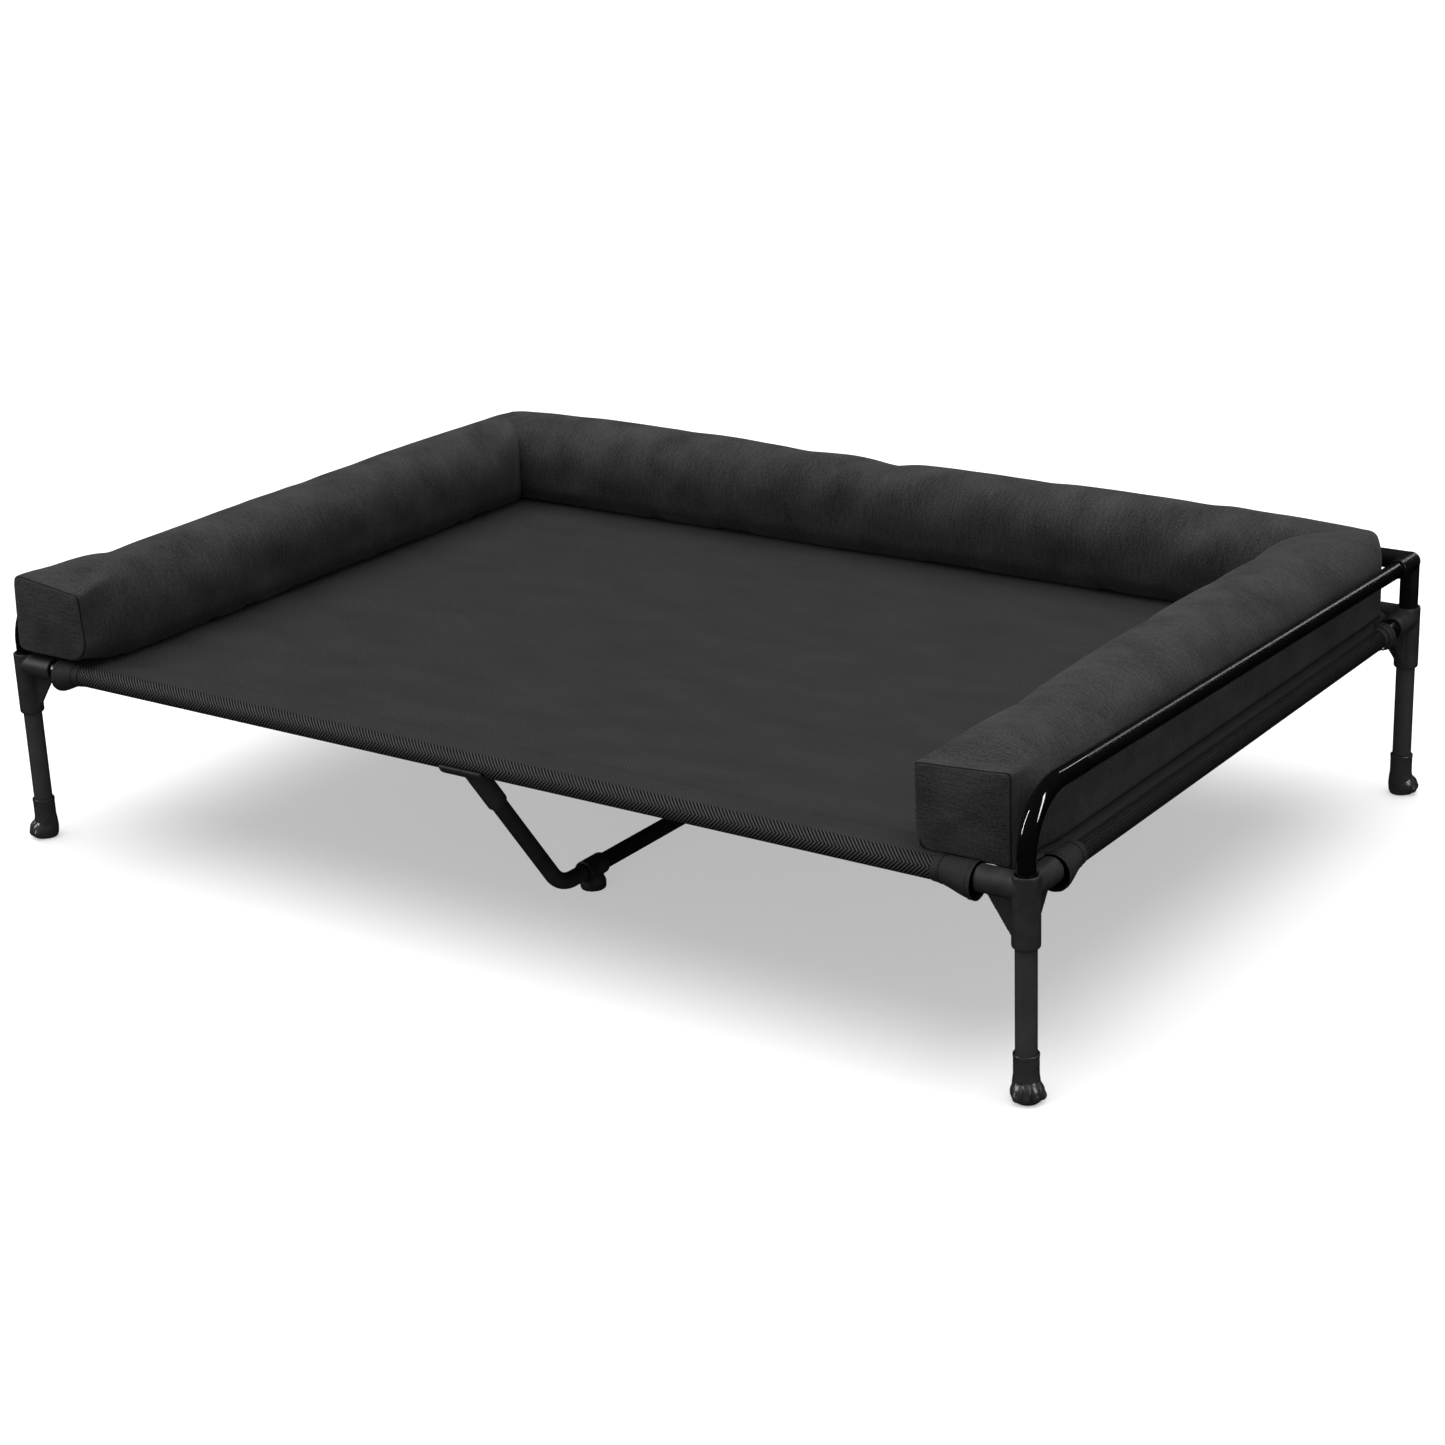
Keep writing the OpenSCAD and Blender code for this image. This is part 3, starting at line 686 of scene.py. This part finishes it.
def make_sling():
    corner, pitch = CUFF_MOUTH, 0.0104
    xs, ys = stations(LEG_X, corner, pitch), stations(LEG_Y, corner, pitch)
    sleeve_from = CUFF_START - 0.010
    points, uvs, faces, index = [], [], [], {}

    def put(key, point, uv):
        index[key] = len(points)
        points.append(point)
        uvs.append(uv)

    for i, x in enumerate(xs):
        for j, y in enumerate(ys):
            if LEG_X - abs(x) + LEG_Y - abs(y) < corner - 1e-6:
                continue
            px, py = x, y
            if abs(y) > LEG_Y - 1e-6 and abs(x) > LEG_X - sleeve_from:
                py = math.copysign(LEG_Y - TUCK, y)
            if abs(x) > LEG_X - 1e-6 and abs(y) > LEG_Y - sleeve_from:
                px = math.copysign(LEG_X - TUCK, x)
            put((i, j), (px, py, sling_height(px, py)), (px, py))
    for i in range(len(xs) - 1):
        for j in range(len(ys) - 1):
            loop = [(i, j), (i + 1, j), (i + 1, j + 1), (i, j + 1)]
            found = [index[k] for k in loop if k in index]
            if len(found) >= 3:
                faces.append(tuple(found))

    path = sleeve_path()
    notch = (extent("brace_clip_front").x + 0.006) / 2
    notch_cut = SLEEVE_R * math.acos(-0.003 / SLEEVE_R)

    def add_sleeve(edge, lines, along_x, sign):
        """Hangs a sleeve on the panel's edge; lines are the grid lines that reach it."""
        keys = [n for n, value in enumerate(lines)
                if abs(value) <= (LEG_X if along_x else LEG_Y) - sleeve_from + 1e-6]
        for n in keys:
            for k, (inward, height, cut) in enumerate(path):
                line = lines[n]
                out = (LEG_Y if along_x else LEG_X) - inward
                where = (line, sign * out) if along_x else (sign * out, line)
                drop = SLING_TOP - sling_height(*where) if inward > 0 else 0.0
                ease = smooth(inward / 0.03)
                uv_out = (LEG_Y if along_x else LEG_X) + cut
                uv = (line, sign * uv_out) if along_x else (sign * uv_out, line)
                put((edge, n, k), (*where, RAIL_Z + height - drop * ease), uv)
        for a, b in zip(keys, keys[1:], strict=False):
            for k in range(-1, len(path) - 1):
                def key(n, k):
                    if k >= 0:
                        return (edge, n, k)
                    rim = 0 if sign < 0 else (len(ys) if along_x else len(xs)) - 1
                    return (n, rim) if along_x else (rim, n)
                middle_line = (lines[a] + lines[b]) / 2
                cut = path[k][2] if k >= 0 else 0.0
                if along_x and abs(middle_line) < notch and cut > notch_cut - 0.001:
                    continue
                loop = [index[key(a, k)], index[key(b, k)], index[key(b, k + 1)], index[key(a, k + 1)]]
                if along_x == (sign < 0):
                    loop.reverse()
                faces.append(tuple(loop))

    add_sleeve("front", xs, True, -1)
    add_sleeve("back", xs, True, 1)
    add_sleeve("left", ys, False, -1)
    add_sleeve("right", ys, False, 1)
    mesh = new_mesh("sling", points, faces, uvs)
    bm = bmesh.new()
    bm.from_mesh(mesh)
    bmesh.ops.delete(bm, geom=[v for v in bm.verts if not v.link_faces], context="VERTS")
    bm.to_mesh(mesh)
    bm.free()
    area = sum(p.area for p in mesh.polygons)
    sling = new_object("sling", mesh)
    thick = sling.modifiers.new("thickness", "SOLIDIFY")
    thick.thickness = CLOTH_T
    thick.offset = -1
    finish_piece(sling, SLING, "frame",
                 ["sling_panel", "sleeve_front", "sleeve_back", "sleeve_left", "sleeve_right"])
    return sling, path[-1][2], area


def hem_stitches():
    """Two rows of stitches through panel and hem along each side."""
    lines = []
    inset = CUFF_START + 0.004
    for back in (0.0335, 0.0385):
        for sign in (-1, 1):
            y = sign * (LEG_Y - back)
            lines.append([((x, y, sling_height(x, y)), (0, 0, 1))
                          for x in np.linspace(inset - LEG_X, LEG_X - inset, 200)])
            x = sign * (LEG_X - back)
            lines.append([((x, y, sling_height(x, y)), (0, 0, 1))
                          for y in np.linspace(inset - LEG_Y, LEG_Y - inset, 140)])
    return stitches("sling_stitches", lines, 0.0042, 0.0032, "frame")


def corner_binding():
    """Folded tape over the panel's four cut-off corners."""
    pieces = []
    for name, (sx, sy) in CORNERS.items():
        a = Vector((sx * (LEG_X - CUFF_MOUTH), sy * (LEG_Y - TUCK), 0))
        b = Vector((sx * (LEG_X - TUCK), sy * (LEG_Y - CUFF_MOUTH), 0))
        inward = Vector((-sx, -sy, 0)).normalized()
        outline = [(0.009, 0.0009), (0.0045, 0.0011), (0.0005, 0.0010), (-0.0010, -0.0006),
                   (0.0005, -0.0022), (0.0045, -0.0023), (0.009, -0.0021), (0.009, -0.0006)]
        points, uvs = [], []
        steps = 26
        for i in range(steps + 1):
            p = a.lerp(b, i / steps)
            p.z = sling_height(p.x, p.y) + 0.0001 * math.sin(i * 1.7)
            for k, (back, up) in enumerate(outline):
                points.append(p + inward * back + Vector((0, 0, up)))
                uvs.append((i * 0.0026, k * 0.003))
        n = len(outline)
        faces = tube_faces(steps + 1, n)
        faces.append(tuple(range(n)))
        faces.append(tuple(steps * n + k for k in reversed(range(n))))
        mesh = new_mesh("corner_binding_" + name, points, faces, uvs)
        outward(mesh)
        pieces.append(finish_piece(new_object(mesh.name, mesh), TAPE, "frame"))
    return pieces


def cuff_mesh(name, seed, length, droop):
    """A slack fabric cuff along +Z with its mouth at the top and its lower side towards -Y: snug
    on the rail's sleeve at its start, and drooping at its mouth."""
    rows = [(-0.006, 0.0007), (-0.003, 0.0011), (0.0015, 0.0013), (0.0030, 0.0006), (0.0050, 0.0014)]
    rows += [(length * t, 0.0016) for t in (0.2, 0.32, 0.45, 0.6, 0.75, 0.87, 0.95)]
    rows += [(length - 0.0008, 0.0022), (length + 0.0004, 0.0014), (length - 0.0004, 0.0002)]
    rows += [(length * t, 0.0002) for t in (0.9, 0.75, 0.55, 0.35)]
    around = 60
    points, uvs = [], []
    for z, proud in rows:
        t = smooth(z / length)
        for k in range(around):
            a = 2 * math.pi * k / around
            down = (1 - math.sin(a)) / 2
            radius = SLEEVE_R + proud + t * (0.0016 + droop * down ** 1.3)
            radius += 0.0007 * t * noise.noise(Vector((3 * math.cos(a), 3 * math.sin(a), seed + 40 * z)))
            points.append((radius * math.cos(a), radius * math.sin(a), z))
            uvs.append((a * SLEEVE_R, z))
    return new_mesh(name, points, tube_faces(len(rows), around), uvs)


def make_cuffs():
    cuffs, rings = [], []
    seed = 0
    for name, (sx, sy) in CORNERS.items():
        front, side = name.split("_")
        for kind in ("long", "short"):
            node = f"cuff_{front}_{side}" if kind == "long" else f"cuff_{side}_{front}"
            seed += 1
            tight = front == "back" and kind == "short"
            share = 0.4 if tight else 0.75 if node == "cuff_front_left" else 1.0
            length = (CUFF_START - CUFF_MOUTH) * share
            droop = 0.0020 if tight else 0.0080
            mesh = cuff_mesh("fabric_" + node, seed, length, droop)
            if kind == "long":
                ahead = Vector((sx, 0, 0))
                start = Vector((sx * (LEG_X - CUFF_START), sy * LEG_Y, RAIL_Z))
            else:
                ahead = Vector((0, sy, 0))
                start = Vector((sx * LEG_X, sy * (LEG_Y - CUFF_START), RAIL_Z))
            up = Vector((0, 0, 1))
            turn = Matrix((up.cross(ahead), up, ahead)).transposed().to_4x4()
            place = Matrix.Translation(start) @ turn
            mesh.transform(place)
            ob = new_object(mesh.name, mesh)
            wall = ob.modifiers.new("round", "SUBSURF")
            wall.levels = wall.render_levels = 1
            finish_piece(ob, TAPE, "frame", [node])
            cuffs.append(ob)
            for z in (0.0030, length - 0.005):
                ring = []
                for k in range(61):
                    a = 2 * math.pi * k / 60
                    t = smooth(z / length)
                    down = (1 - math.sin(a)) / 2
                    r = SLEEVE_R + 0.0013 + t * (0.0018 + droop * down ** 1.3)
                    ring.append((place @ Vector((r * math.cos(a), r * math.sin(a), z)),
                                 place.to_3x3() @ Vector((math.cos(a), math.sin(a), 0))))
                rings.append(ring)
    threads = stitches("cuff_stitches", rings, 0.0036, 0.0027, "frame")
    return cuffs, threads


# ---------- bolster ----------

AROUND = 64                                   # points round the bolster's section
RING_PITCH = 0.0062                           # distance between its sections
SEAM_DEPTH = 0.0030                           # how far the end panels' seams draw in
CENTRE = SIDE_X - BOLSTER_W / 2               # middle line of an arm, from the bed's middle
BACK_CENTRE = BACK_Y - BOLSTER_W / 2          # the same of the back run
MID_Z = (BOLSTER_LOW + BOLSTER_HIGH) / 2
OUTER_CORNER_R = 0.040                        # plan radius of the back corners


def resampled(outline, count, closed=True):
    """The outline again with equally spaced points; an open one loses its last point."""
    loop = np.array([*outline, outline[0]] if closed else outline, float)
    along = distances(loop)
    at = np.arange(count) * along[-1] / count
    return np.stack([np.interp(at, along, loop[:, k]) for k in range(2)], axis=1)


def body_section():
    """Crowned section of the stuffed tube, as (outward, z) from the bottom's middle, inner side
    first."""
    half_w, half_h = BOLSTER_W / 2 + 0.0015, (BOLSTER_HIGH - BOLSTER_LOW) / 2 + 0.0008
    outline = []
    for i in range(720):
        a = -math.pi / 2 - 2 * math.pi * i / 720
        c, s = math.cos(a), math.sin(a)
        power = 2.7 if s > 0 else 2.7 + (8.0 if c > 0 else 1.6) * smooth(-2.5 * s)
        outline.append((half_w * math.copysign(abs(c) ** (2 / power), c),
                        MID_Z + half_h * math.copysign(abs(s) ** (2 / power), s)))
    return resampled(outline, AROUND)


def end_section(corners, rounds):
    """Outline of the sewn-in end panel from its four corners as (outward, z), inner low one first,
    with the same number of points and in the same order as the body's section."""
    (x0, z0), (x3, z3) = corners[0], corners[-1]
    start = ((x0 + x3) / 2, (z0 + z3) / 2)
    sides = [[start]]
    for k, (corner, radius) in enumerate(zip(corners, rounds, strict=True)):
        here = Vector(corner)
        before = (Vector(corners[k - 1]) - here).normalized()
        after = (Vector(corners[(k + 1) % 4]) - here).normalized()
        begin, end = here + before * radius, here + after * radius
        curve = [tuple(begin.lerp(here, i / 16).lerp(here.lerp(end, i / 16), i / 16)) for i in range(17)]
        sides[-1] += curve[:9]
        sides.append(curve[8:])
    sides[-1].append(start)
    counts = (AROUND // 8, AROUND // 4, AROUND // 4, AROUND // 4, AROUND // 8)
    return np.concatenate([resampled(side, count, closed=False)
                           for side, count in zip(sides, counts, strict=True)])


def rounded_corner(x, y):
    """Moves a point of the square back corners onto a rounded one."""
    reach = OUTER_CORNER_R
    cx, cy = SIDE_X - reach, BACK_Y - reach
    a, b = (abs(x) - cx) / reach, (y - cy) / reach
    if a <= 0 or b <= 0:
        return x, y
    a, b = min(a, 1.1), min(b, 1.1)
    return (math.copysign(cx + reach * a * math.sqrt(1 - b * b / 2), x),
            cy + reach * b * math.sqrt(1 - a * a / 2))


def bolster_rings():
    """Rings along the U from the left front end to the right one, as (run, t, distance from the
    nearest front end, distance from the nearest mitre)."""
    near = [0, 0.0013, 0.0028, 0.0052, 0.009, 0.014, 0.020]
    rings = []
    for run, front in (("left", LEFT_FRONT), ("right", RIGHT_FRONT)):
        length = BACK_CENTRE - front
        count = round((length - near[-1]) / RING_PITCH)
        steps = near + [near[-1] + (length - near[-1]) * i / count for i in range(1, count + 1)]
        rings.append([(run, s / length, s, length - s) for s in steps])
    count = round(2 * CENTRE / RING_PITCH)
    back = [("back", -1 + 2 * i / count, 1.0, CENTRE * (1 - abs(-1 + 2 * i / count)))
            for i in range(count + 1)]
    left, right = rings
    return left, back[1:-1], right[::-1]


def ring_points(ring, body, end_left, end_right):
    """Points of one ring: the section eased into its end panel, pinched at the mitres and pressed
    down on its outer low side."""
    run, t, from_end, from_mitre = ring
    section = body
    if run != "back":
        w = smooth(from_end / 0.085)
        section = body * w + (end_left if run == "left" else end_right) * (1 - w)
        if run == "right":
            low_spot = 0.0035 * bump(from_end - 0.16, 0.06)
        else:
            low_spot = -0.006 * bump(from_end - 0.06, 0.045)
        pressed = 0.0075 * smooth((from_end - 0.03) / 0.06)
    else:
        low_spot = 0.0
        pressed = 0.004
    pinch = bump(from_mitre, 0.016)
    made = []
    for d, z in section:
        inner = smooth((-d + 0.010) / 0.045)
        top = smooth((z - MID_Z) / 0.040)
        outer_low = smooth((d - 0.030) / 0.020) * smooth((BOLSTER_LOW + 0.052 - z) / 0.022)
        shift = d + 0.011 * pinch * inner + pressed * outer_low
        height = z - pinch * 0.0045 * top * (0.35 + 0.65 * inner) - low_spot * top
        if run == "back":
            y = BACK_CENTRE + shift
            x = t * CENTRE + math.copysign(shift * smooth((abs(t) - 0.8) / 0.2), t)
        else:
            front = LEFT_FRONT if run == "left" else RIGHT_FRONT
            side = -1 if run == "left" else 1
            x = side * (CENTRE + shift)
            y = front + t * (BACK_CENTRE - front) + shift * smooth((t - 0.8) / 0.2)
        x, y = rounded_corner(x, y)
        made.append(Vector((x, y, height)))
    return made


def end_cap(ring, front):
    """Rings that close an arm's end, each as points, with the panel's middle last."""
    centre = sum(ring, Vector()) / len(ring)
    caps = []
    for inset in (0.0013, 0.0028, 0.0052, 0.009, 0.015, 0.022, 0.030, 0.038):
        share = 1 - inset / 0.050
        proud = 0.0028 * (1 - share * share)
        caps.append([Vector((centre.x + (p.x - centre.x) * share, front - proud,
                             centre.z + (p.z - centre.z) * share)) for p in ring])
    return caps, Vector((centre.x, front - 0.0030, centre.z))


def bolster_lattice():
    """All rings of the U with its two end caps, as one list, and where each run starts."""
    body = body_section()
    half = BOLSTER_W / 2
    low = BOLSTER_LOW
    end_left = end_section([(-half + 0.002, low + 0.008), (-half + 0.009, low + 0.089),
                            (half + 0.0080, low + 0.1005), (half + 0.0120, low + 0.008)],
                           (0.034, 0.002, 0.012, 0.008))
    end_right = end_section([(-half + 0.001, low - 0.001), (-half + 0.001, low + 0.086),
                             (half - 0.0015, low + 0.0935), (half - 0.0005, low - 0.0040)],
                            (0.020, 0.0008, 0.0008, 0.002))
    left, back, right = bolster_rings()
    facts = [*left, *back, *right]
    rows = [ring_points(r, body, end_left, end_right) for r in facts]
    cap_left, tip_left = end_cap(rows[0], LEFT_FRONT)
    cap_right, tip_right = end_cap(rows[-1], RIGHT_FRONT)
    rows = [*cap_left[::-1], *rows, *cap_right]
    return rows, facts, len(cap_left), (tip_left, tip_right), len(left), len(back)


def inflate(ob, pinned, pressure, frames, cap):
    """Cloth simulation that stuffs the cover, with a cap on how far a point may move."""
    before = np.array([v.co for v in ob.data.vertices], float)
    group = ob.vertex_groups.new(name="sewn")
    group.add(pinned, 1.0, "REPLACE")
    cloth = ob.modifiers.new("Cloth", "CLOTH")
    settings = cloth.settings
    settings.quality = 5
    settings.mass = 0.35
    settings.tension_stiffness = settings.compression_stiffness = 12
    settings.shear_stiffness = 6
    settings.bending_stiffness = 6.0
    settings.shrink_min = -0.006
    settings.use_pressure = True
    settings.uniform_pressure_force = pressure
    settings.vertex_group_mass = "sewn"
    settings.pin_stiffness = 1.0
    settings.effector_weights.gravity = 0
    scene = bpy.context.scene
    for f in range(1, frames + 1):
        scene.frame_set(f)
    apply_modifiers(ob)
    scene.frame_set(1)
    after = np.array([v.co for v in ob.data.vertices], float)
    moved = after - before
    size = np.linalg.norm(moved, axis=1, keepdims=True)
    moved *= np.minimum(1.0, cap / np.maximum(size, 1e-9))
    moved[pinned] = 0
    return before + calmed(moved, rounds=10)


def calmed(moved, rounds):
    """Spreads the movement of each lattice point over its neighbours, as thick padding does."""
    lattice = moved[:len(moved) - len(moved) % AROUND].reshape(-1, AROUND, 3)
    for _ in range(rounds):
        up = np.concatenate([lattice[:1], lattice[:-1]])
        down = np.concatenate([lattice[1:], lattice[-1:]])
        lattice = (2 * lattice + np.roll(lattice, 1, axis=1) + np.roll(lattice, -1, axis=1)
                   + up + down) / 6
    tips = np.stack([lattice[0].mean(axis=0), lattice[-1].mean(axis=0)])
    return np.concatenate([lattice.reshape(-1, 3), tips])


def support(x, y):
    """Height of whatever holds the bolster up at (x, y): sling, sleeves, cuffs or connector arms."""
    from_x, from_y = LEG_X - abs(x), LEG_Y - abs(y)
    height = sling_height(x, y) if from_x + from_y > CUFF_MOUTH else RAIL_Z + 0.004
    for off, along in ((from_y, from_x), (from_x, from_y)):
        radius = SLEEVE_R
        if along < ARM_END:
            radius = ARM_R
        elif along < CUFF_START:
            radius = SLEEVE_R + 0.0030
        if abs(off) < radius:
            height = max(height, RAIL_Z + math.sqrt(radius * radius - off * off))
    return height + 0.0006


def against_sleeve(p):
    """1 where the cover's outer side is pressed down onto the rail's sleeve, 0 away from there."""
    outward = max(abs(p.x) - SIDE_X, p.y - BACK_Y)
    return smooth((outward + 0.022) / 0.014) * smooth((BOLSTER_LOW + 0.060 - p.z) / 0.030)


def settle(p):
    """Rests a point of the cover on what is under it and keeps it inside the guard rail."""
    x, y, z = p
    held = support(x, y)
    if z < BOLSTER_LOW + 0.004:
        z = max(held, z - 0.0065)
    limit_x, limit_y = SIDE_X + 0.0072, BACK_Y + 0.0025
    if z > BOLSTER_LOW + 0.046:
        limit_y = BACK_Y + 0.0015
    if x < 0:
        limit_x += 0.0058 * (1 - smooth((y - LEFT_FRONT) / 0.06))
    return (max(-limit_x, min(limit_x, x)), min(limit_y, y), max(held, min(BOLSTER_HIGH + 0.004, z)))


def make_bolster():
    rows, facts, n_cap, tips, n_left, n_back = bolster_lattice()
    points = [p + Vector((noise.noise(p * 23), noise.noise(p * 23 + Vector((9, 0, 0))),
                          noise.noise(p * 23 + Vector((0, 9, 0))))) * 0.0006
              for row in rows for p in row]
    girth = [0.0]
    for a, b in zip(rows[n_cap + 40], rows[n_cap + 40][1:], strict=False):
        girth.append(girth[-1] + (b - a).length)
    lengths = [0.0]
    for a, b in zip(rows, rows[1:], strict=False):
        lengths.append(lengths[-1] + max((b[k] - a[k]).length for k in (0, AROUND // 4, AROUND // 2)))
    faces = tube_faces(len(rows), AROUND)
    first_tip = len(points)
    points += list(tips)
    last = (len(rows) - 1) * AROUND
    for k in range(AROUND):
        faces.append((k, first_tip, (k + 1) % AROUND))
        faces.append((last + k, last + (k + 1) % AROUND, first_tip + 1))
    source = new_object("bolster_source", new_mesh("bolster_source", points, faces))
    outward(source.data)

    pinned = []
    for i, row in enumerate(rows):
        fact = facts[min(max(i - n_cap, 0), len(facts) - 1)]
        for k, p in enumerate(row):
            seam = n_cap - 1 <= i <= n_cap + 1 or len(rows) - n_cap - 2 <= i <= len(rows) - n_cap
            mitre = fact[3] < 0.007 and k < AROUND * 0.42
            resting = p.z < BOLSTER_LOW + 0.002
            if seam or mitre or resting:
                pinned.append(i * AROUND + k)
    shape = np.array(points, float)
    shape = inflate(source, pinned, pressure=2.0, frames=16, cap=0.009)
    for i, row in enumerate(rows):
        for k, p in enumerate(row):
            held = against_sleeve(p)
            shape[i * AROUND + k] = held * np.array(p) + (1 - held) * shape[i * AROUND + k]
    bpy.data.objects.remove(source)
    shape = [Vector(settle(p)) for p in shape]

    for i, row in ((n_cap, rows[n_cap]), (len(rows) - n_cap - 1, rows[-n_cap - 1])):
        centre = sum(row, Vector()) / AROUND
        front = LEFT_FRONT if i == n_cap else RIGHT_FRONT
        for k in range(AROUND):
            p = shape[i * AROUND + k]
            inward = (Vector((centre.x, p.y, centre.z)) - p).normalized() * SEAM_DEPTH
            shape[i * AROUND + k] = Vector((p.x + inward.x, front + 0.0026, p.z + inward.z))

    cuts = {"left": (0, n_cap + n_left - 1), "back": (n_cap + n_left - 1, n_cap + n_left + n_back),
            "right": (n_cap + n_left + n_back, len(rows) - 1)}
    for run, (start, stop) in cuts.items():
        part = [p for i in range(start, stop + 1) for p in shape[i * AROUND:(i + 1) * AROUND]]
        uvs = []
        for i in range(start, stop + 1):
            flat = i < n_cap or i > len(rows) - n_cap - 1
            uvs += [(p.x, p.z) if flat else (girth[k], lengths[i])
                    for k, p in enumerate(shape[i * AROUND:(i + 1) * AROUND])]
        quads = tube_faces(stop - start + 1, AROUND)
        if run != "back":
            tip = len(part)
            part.append(shape[first_tip + (0 if run == "left" else 1)])
            uvs.append((part[-1].x, part[-1].z))
            edge = 0 if run == "left" else (stop - start) * AROUND
            for k in range(AROUND):
                quads.append((edge + k, edge + (k + 1) % AROUND, tip))
        mesh = new_mesh("bolster_" + run, part, quads, uvs)
        ob = new_object("bolster_" + run, mesh)
        fine = ob.modifiers.new("fine", "SUBSURF")
        fine.levels = fine.render_levels = 1
        apply_modifiers(ob)
        bm = bmesh.new()
        bm.from_mesh(ob.data)
        open_edges = [e for e in bm.edges if e.is_boundary]
        if open_edges:
            bmesh.ops.holes_fill(bm, edges=open_edges, sides=0)
            for e in open_edges:
                e.smooth = False
        bmesh.ops.recalc_face_normals(bm, faces=bm.faces)
        bm.to_mesh(ob.data)
        bm.free()
        finish_piece(ob, COVER, "bolster", ["cover_" + run, "fill_" + run])
    end_seams(shape, n_cap, len(rows))


def end_seams(shape, n_cap, count):
    """A dark cord laid round the seam of each end panel: painted shade, a dark piece standing in for the
    shadow in the seam's groove.
    """
    sides, radius = 6, 0.0008
    for side, i in (("left", n_cap), ("right", count - n_cap - 1)):
        ring = [shape[i * AROUND + k] for k in range(AROUND)]
        centre = sum(ring, Vector()) / AROUND
        points = []
        for k, p in enumerate(ring):
            ahead = (ring[(k + 1) % AROUND] - ring[k - 1]).normalized()
            out = ((p - centre).normalized() + Vector((0, -1, 0))).normalized()
            across = ahead.cross(out).normalized()
            for j in range(sides):
                a = 2 * math.pi * j / sides
                points.append(p + out * 0.0013 + (across * math.cos(a) + out * math.sin(a)) * radius)
        mesh = new_mesh("bolster_seam_shade_" + side, points, loop_faces(AROUND, sides))
        outward(mesh)
        finish_piece(new_object(mesh.name, mesh), THREAD, "bolster")


# ---------- the whole bed ----------

set_camera()
set_light()
lay_floor()
finish_tubes()
make_mouldings()
make_paws()
sling_piece, hem_cut, cloth_area = make_sling()
cuff_pieces, cuff_threads = make_cuffs()
sling_parts = [hem_stitches(), *corner_binding(), *cuff_pieces, cuff_threads]
make_bolster()
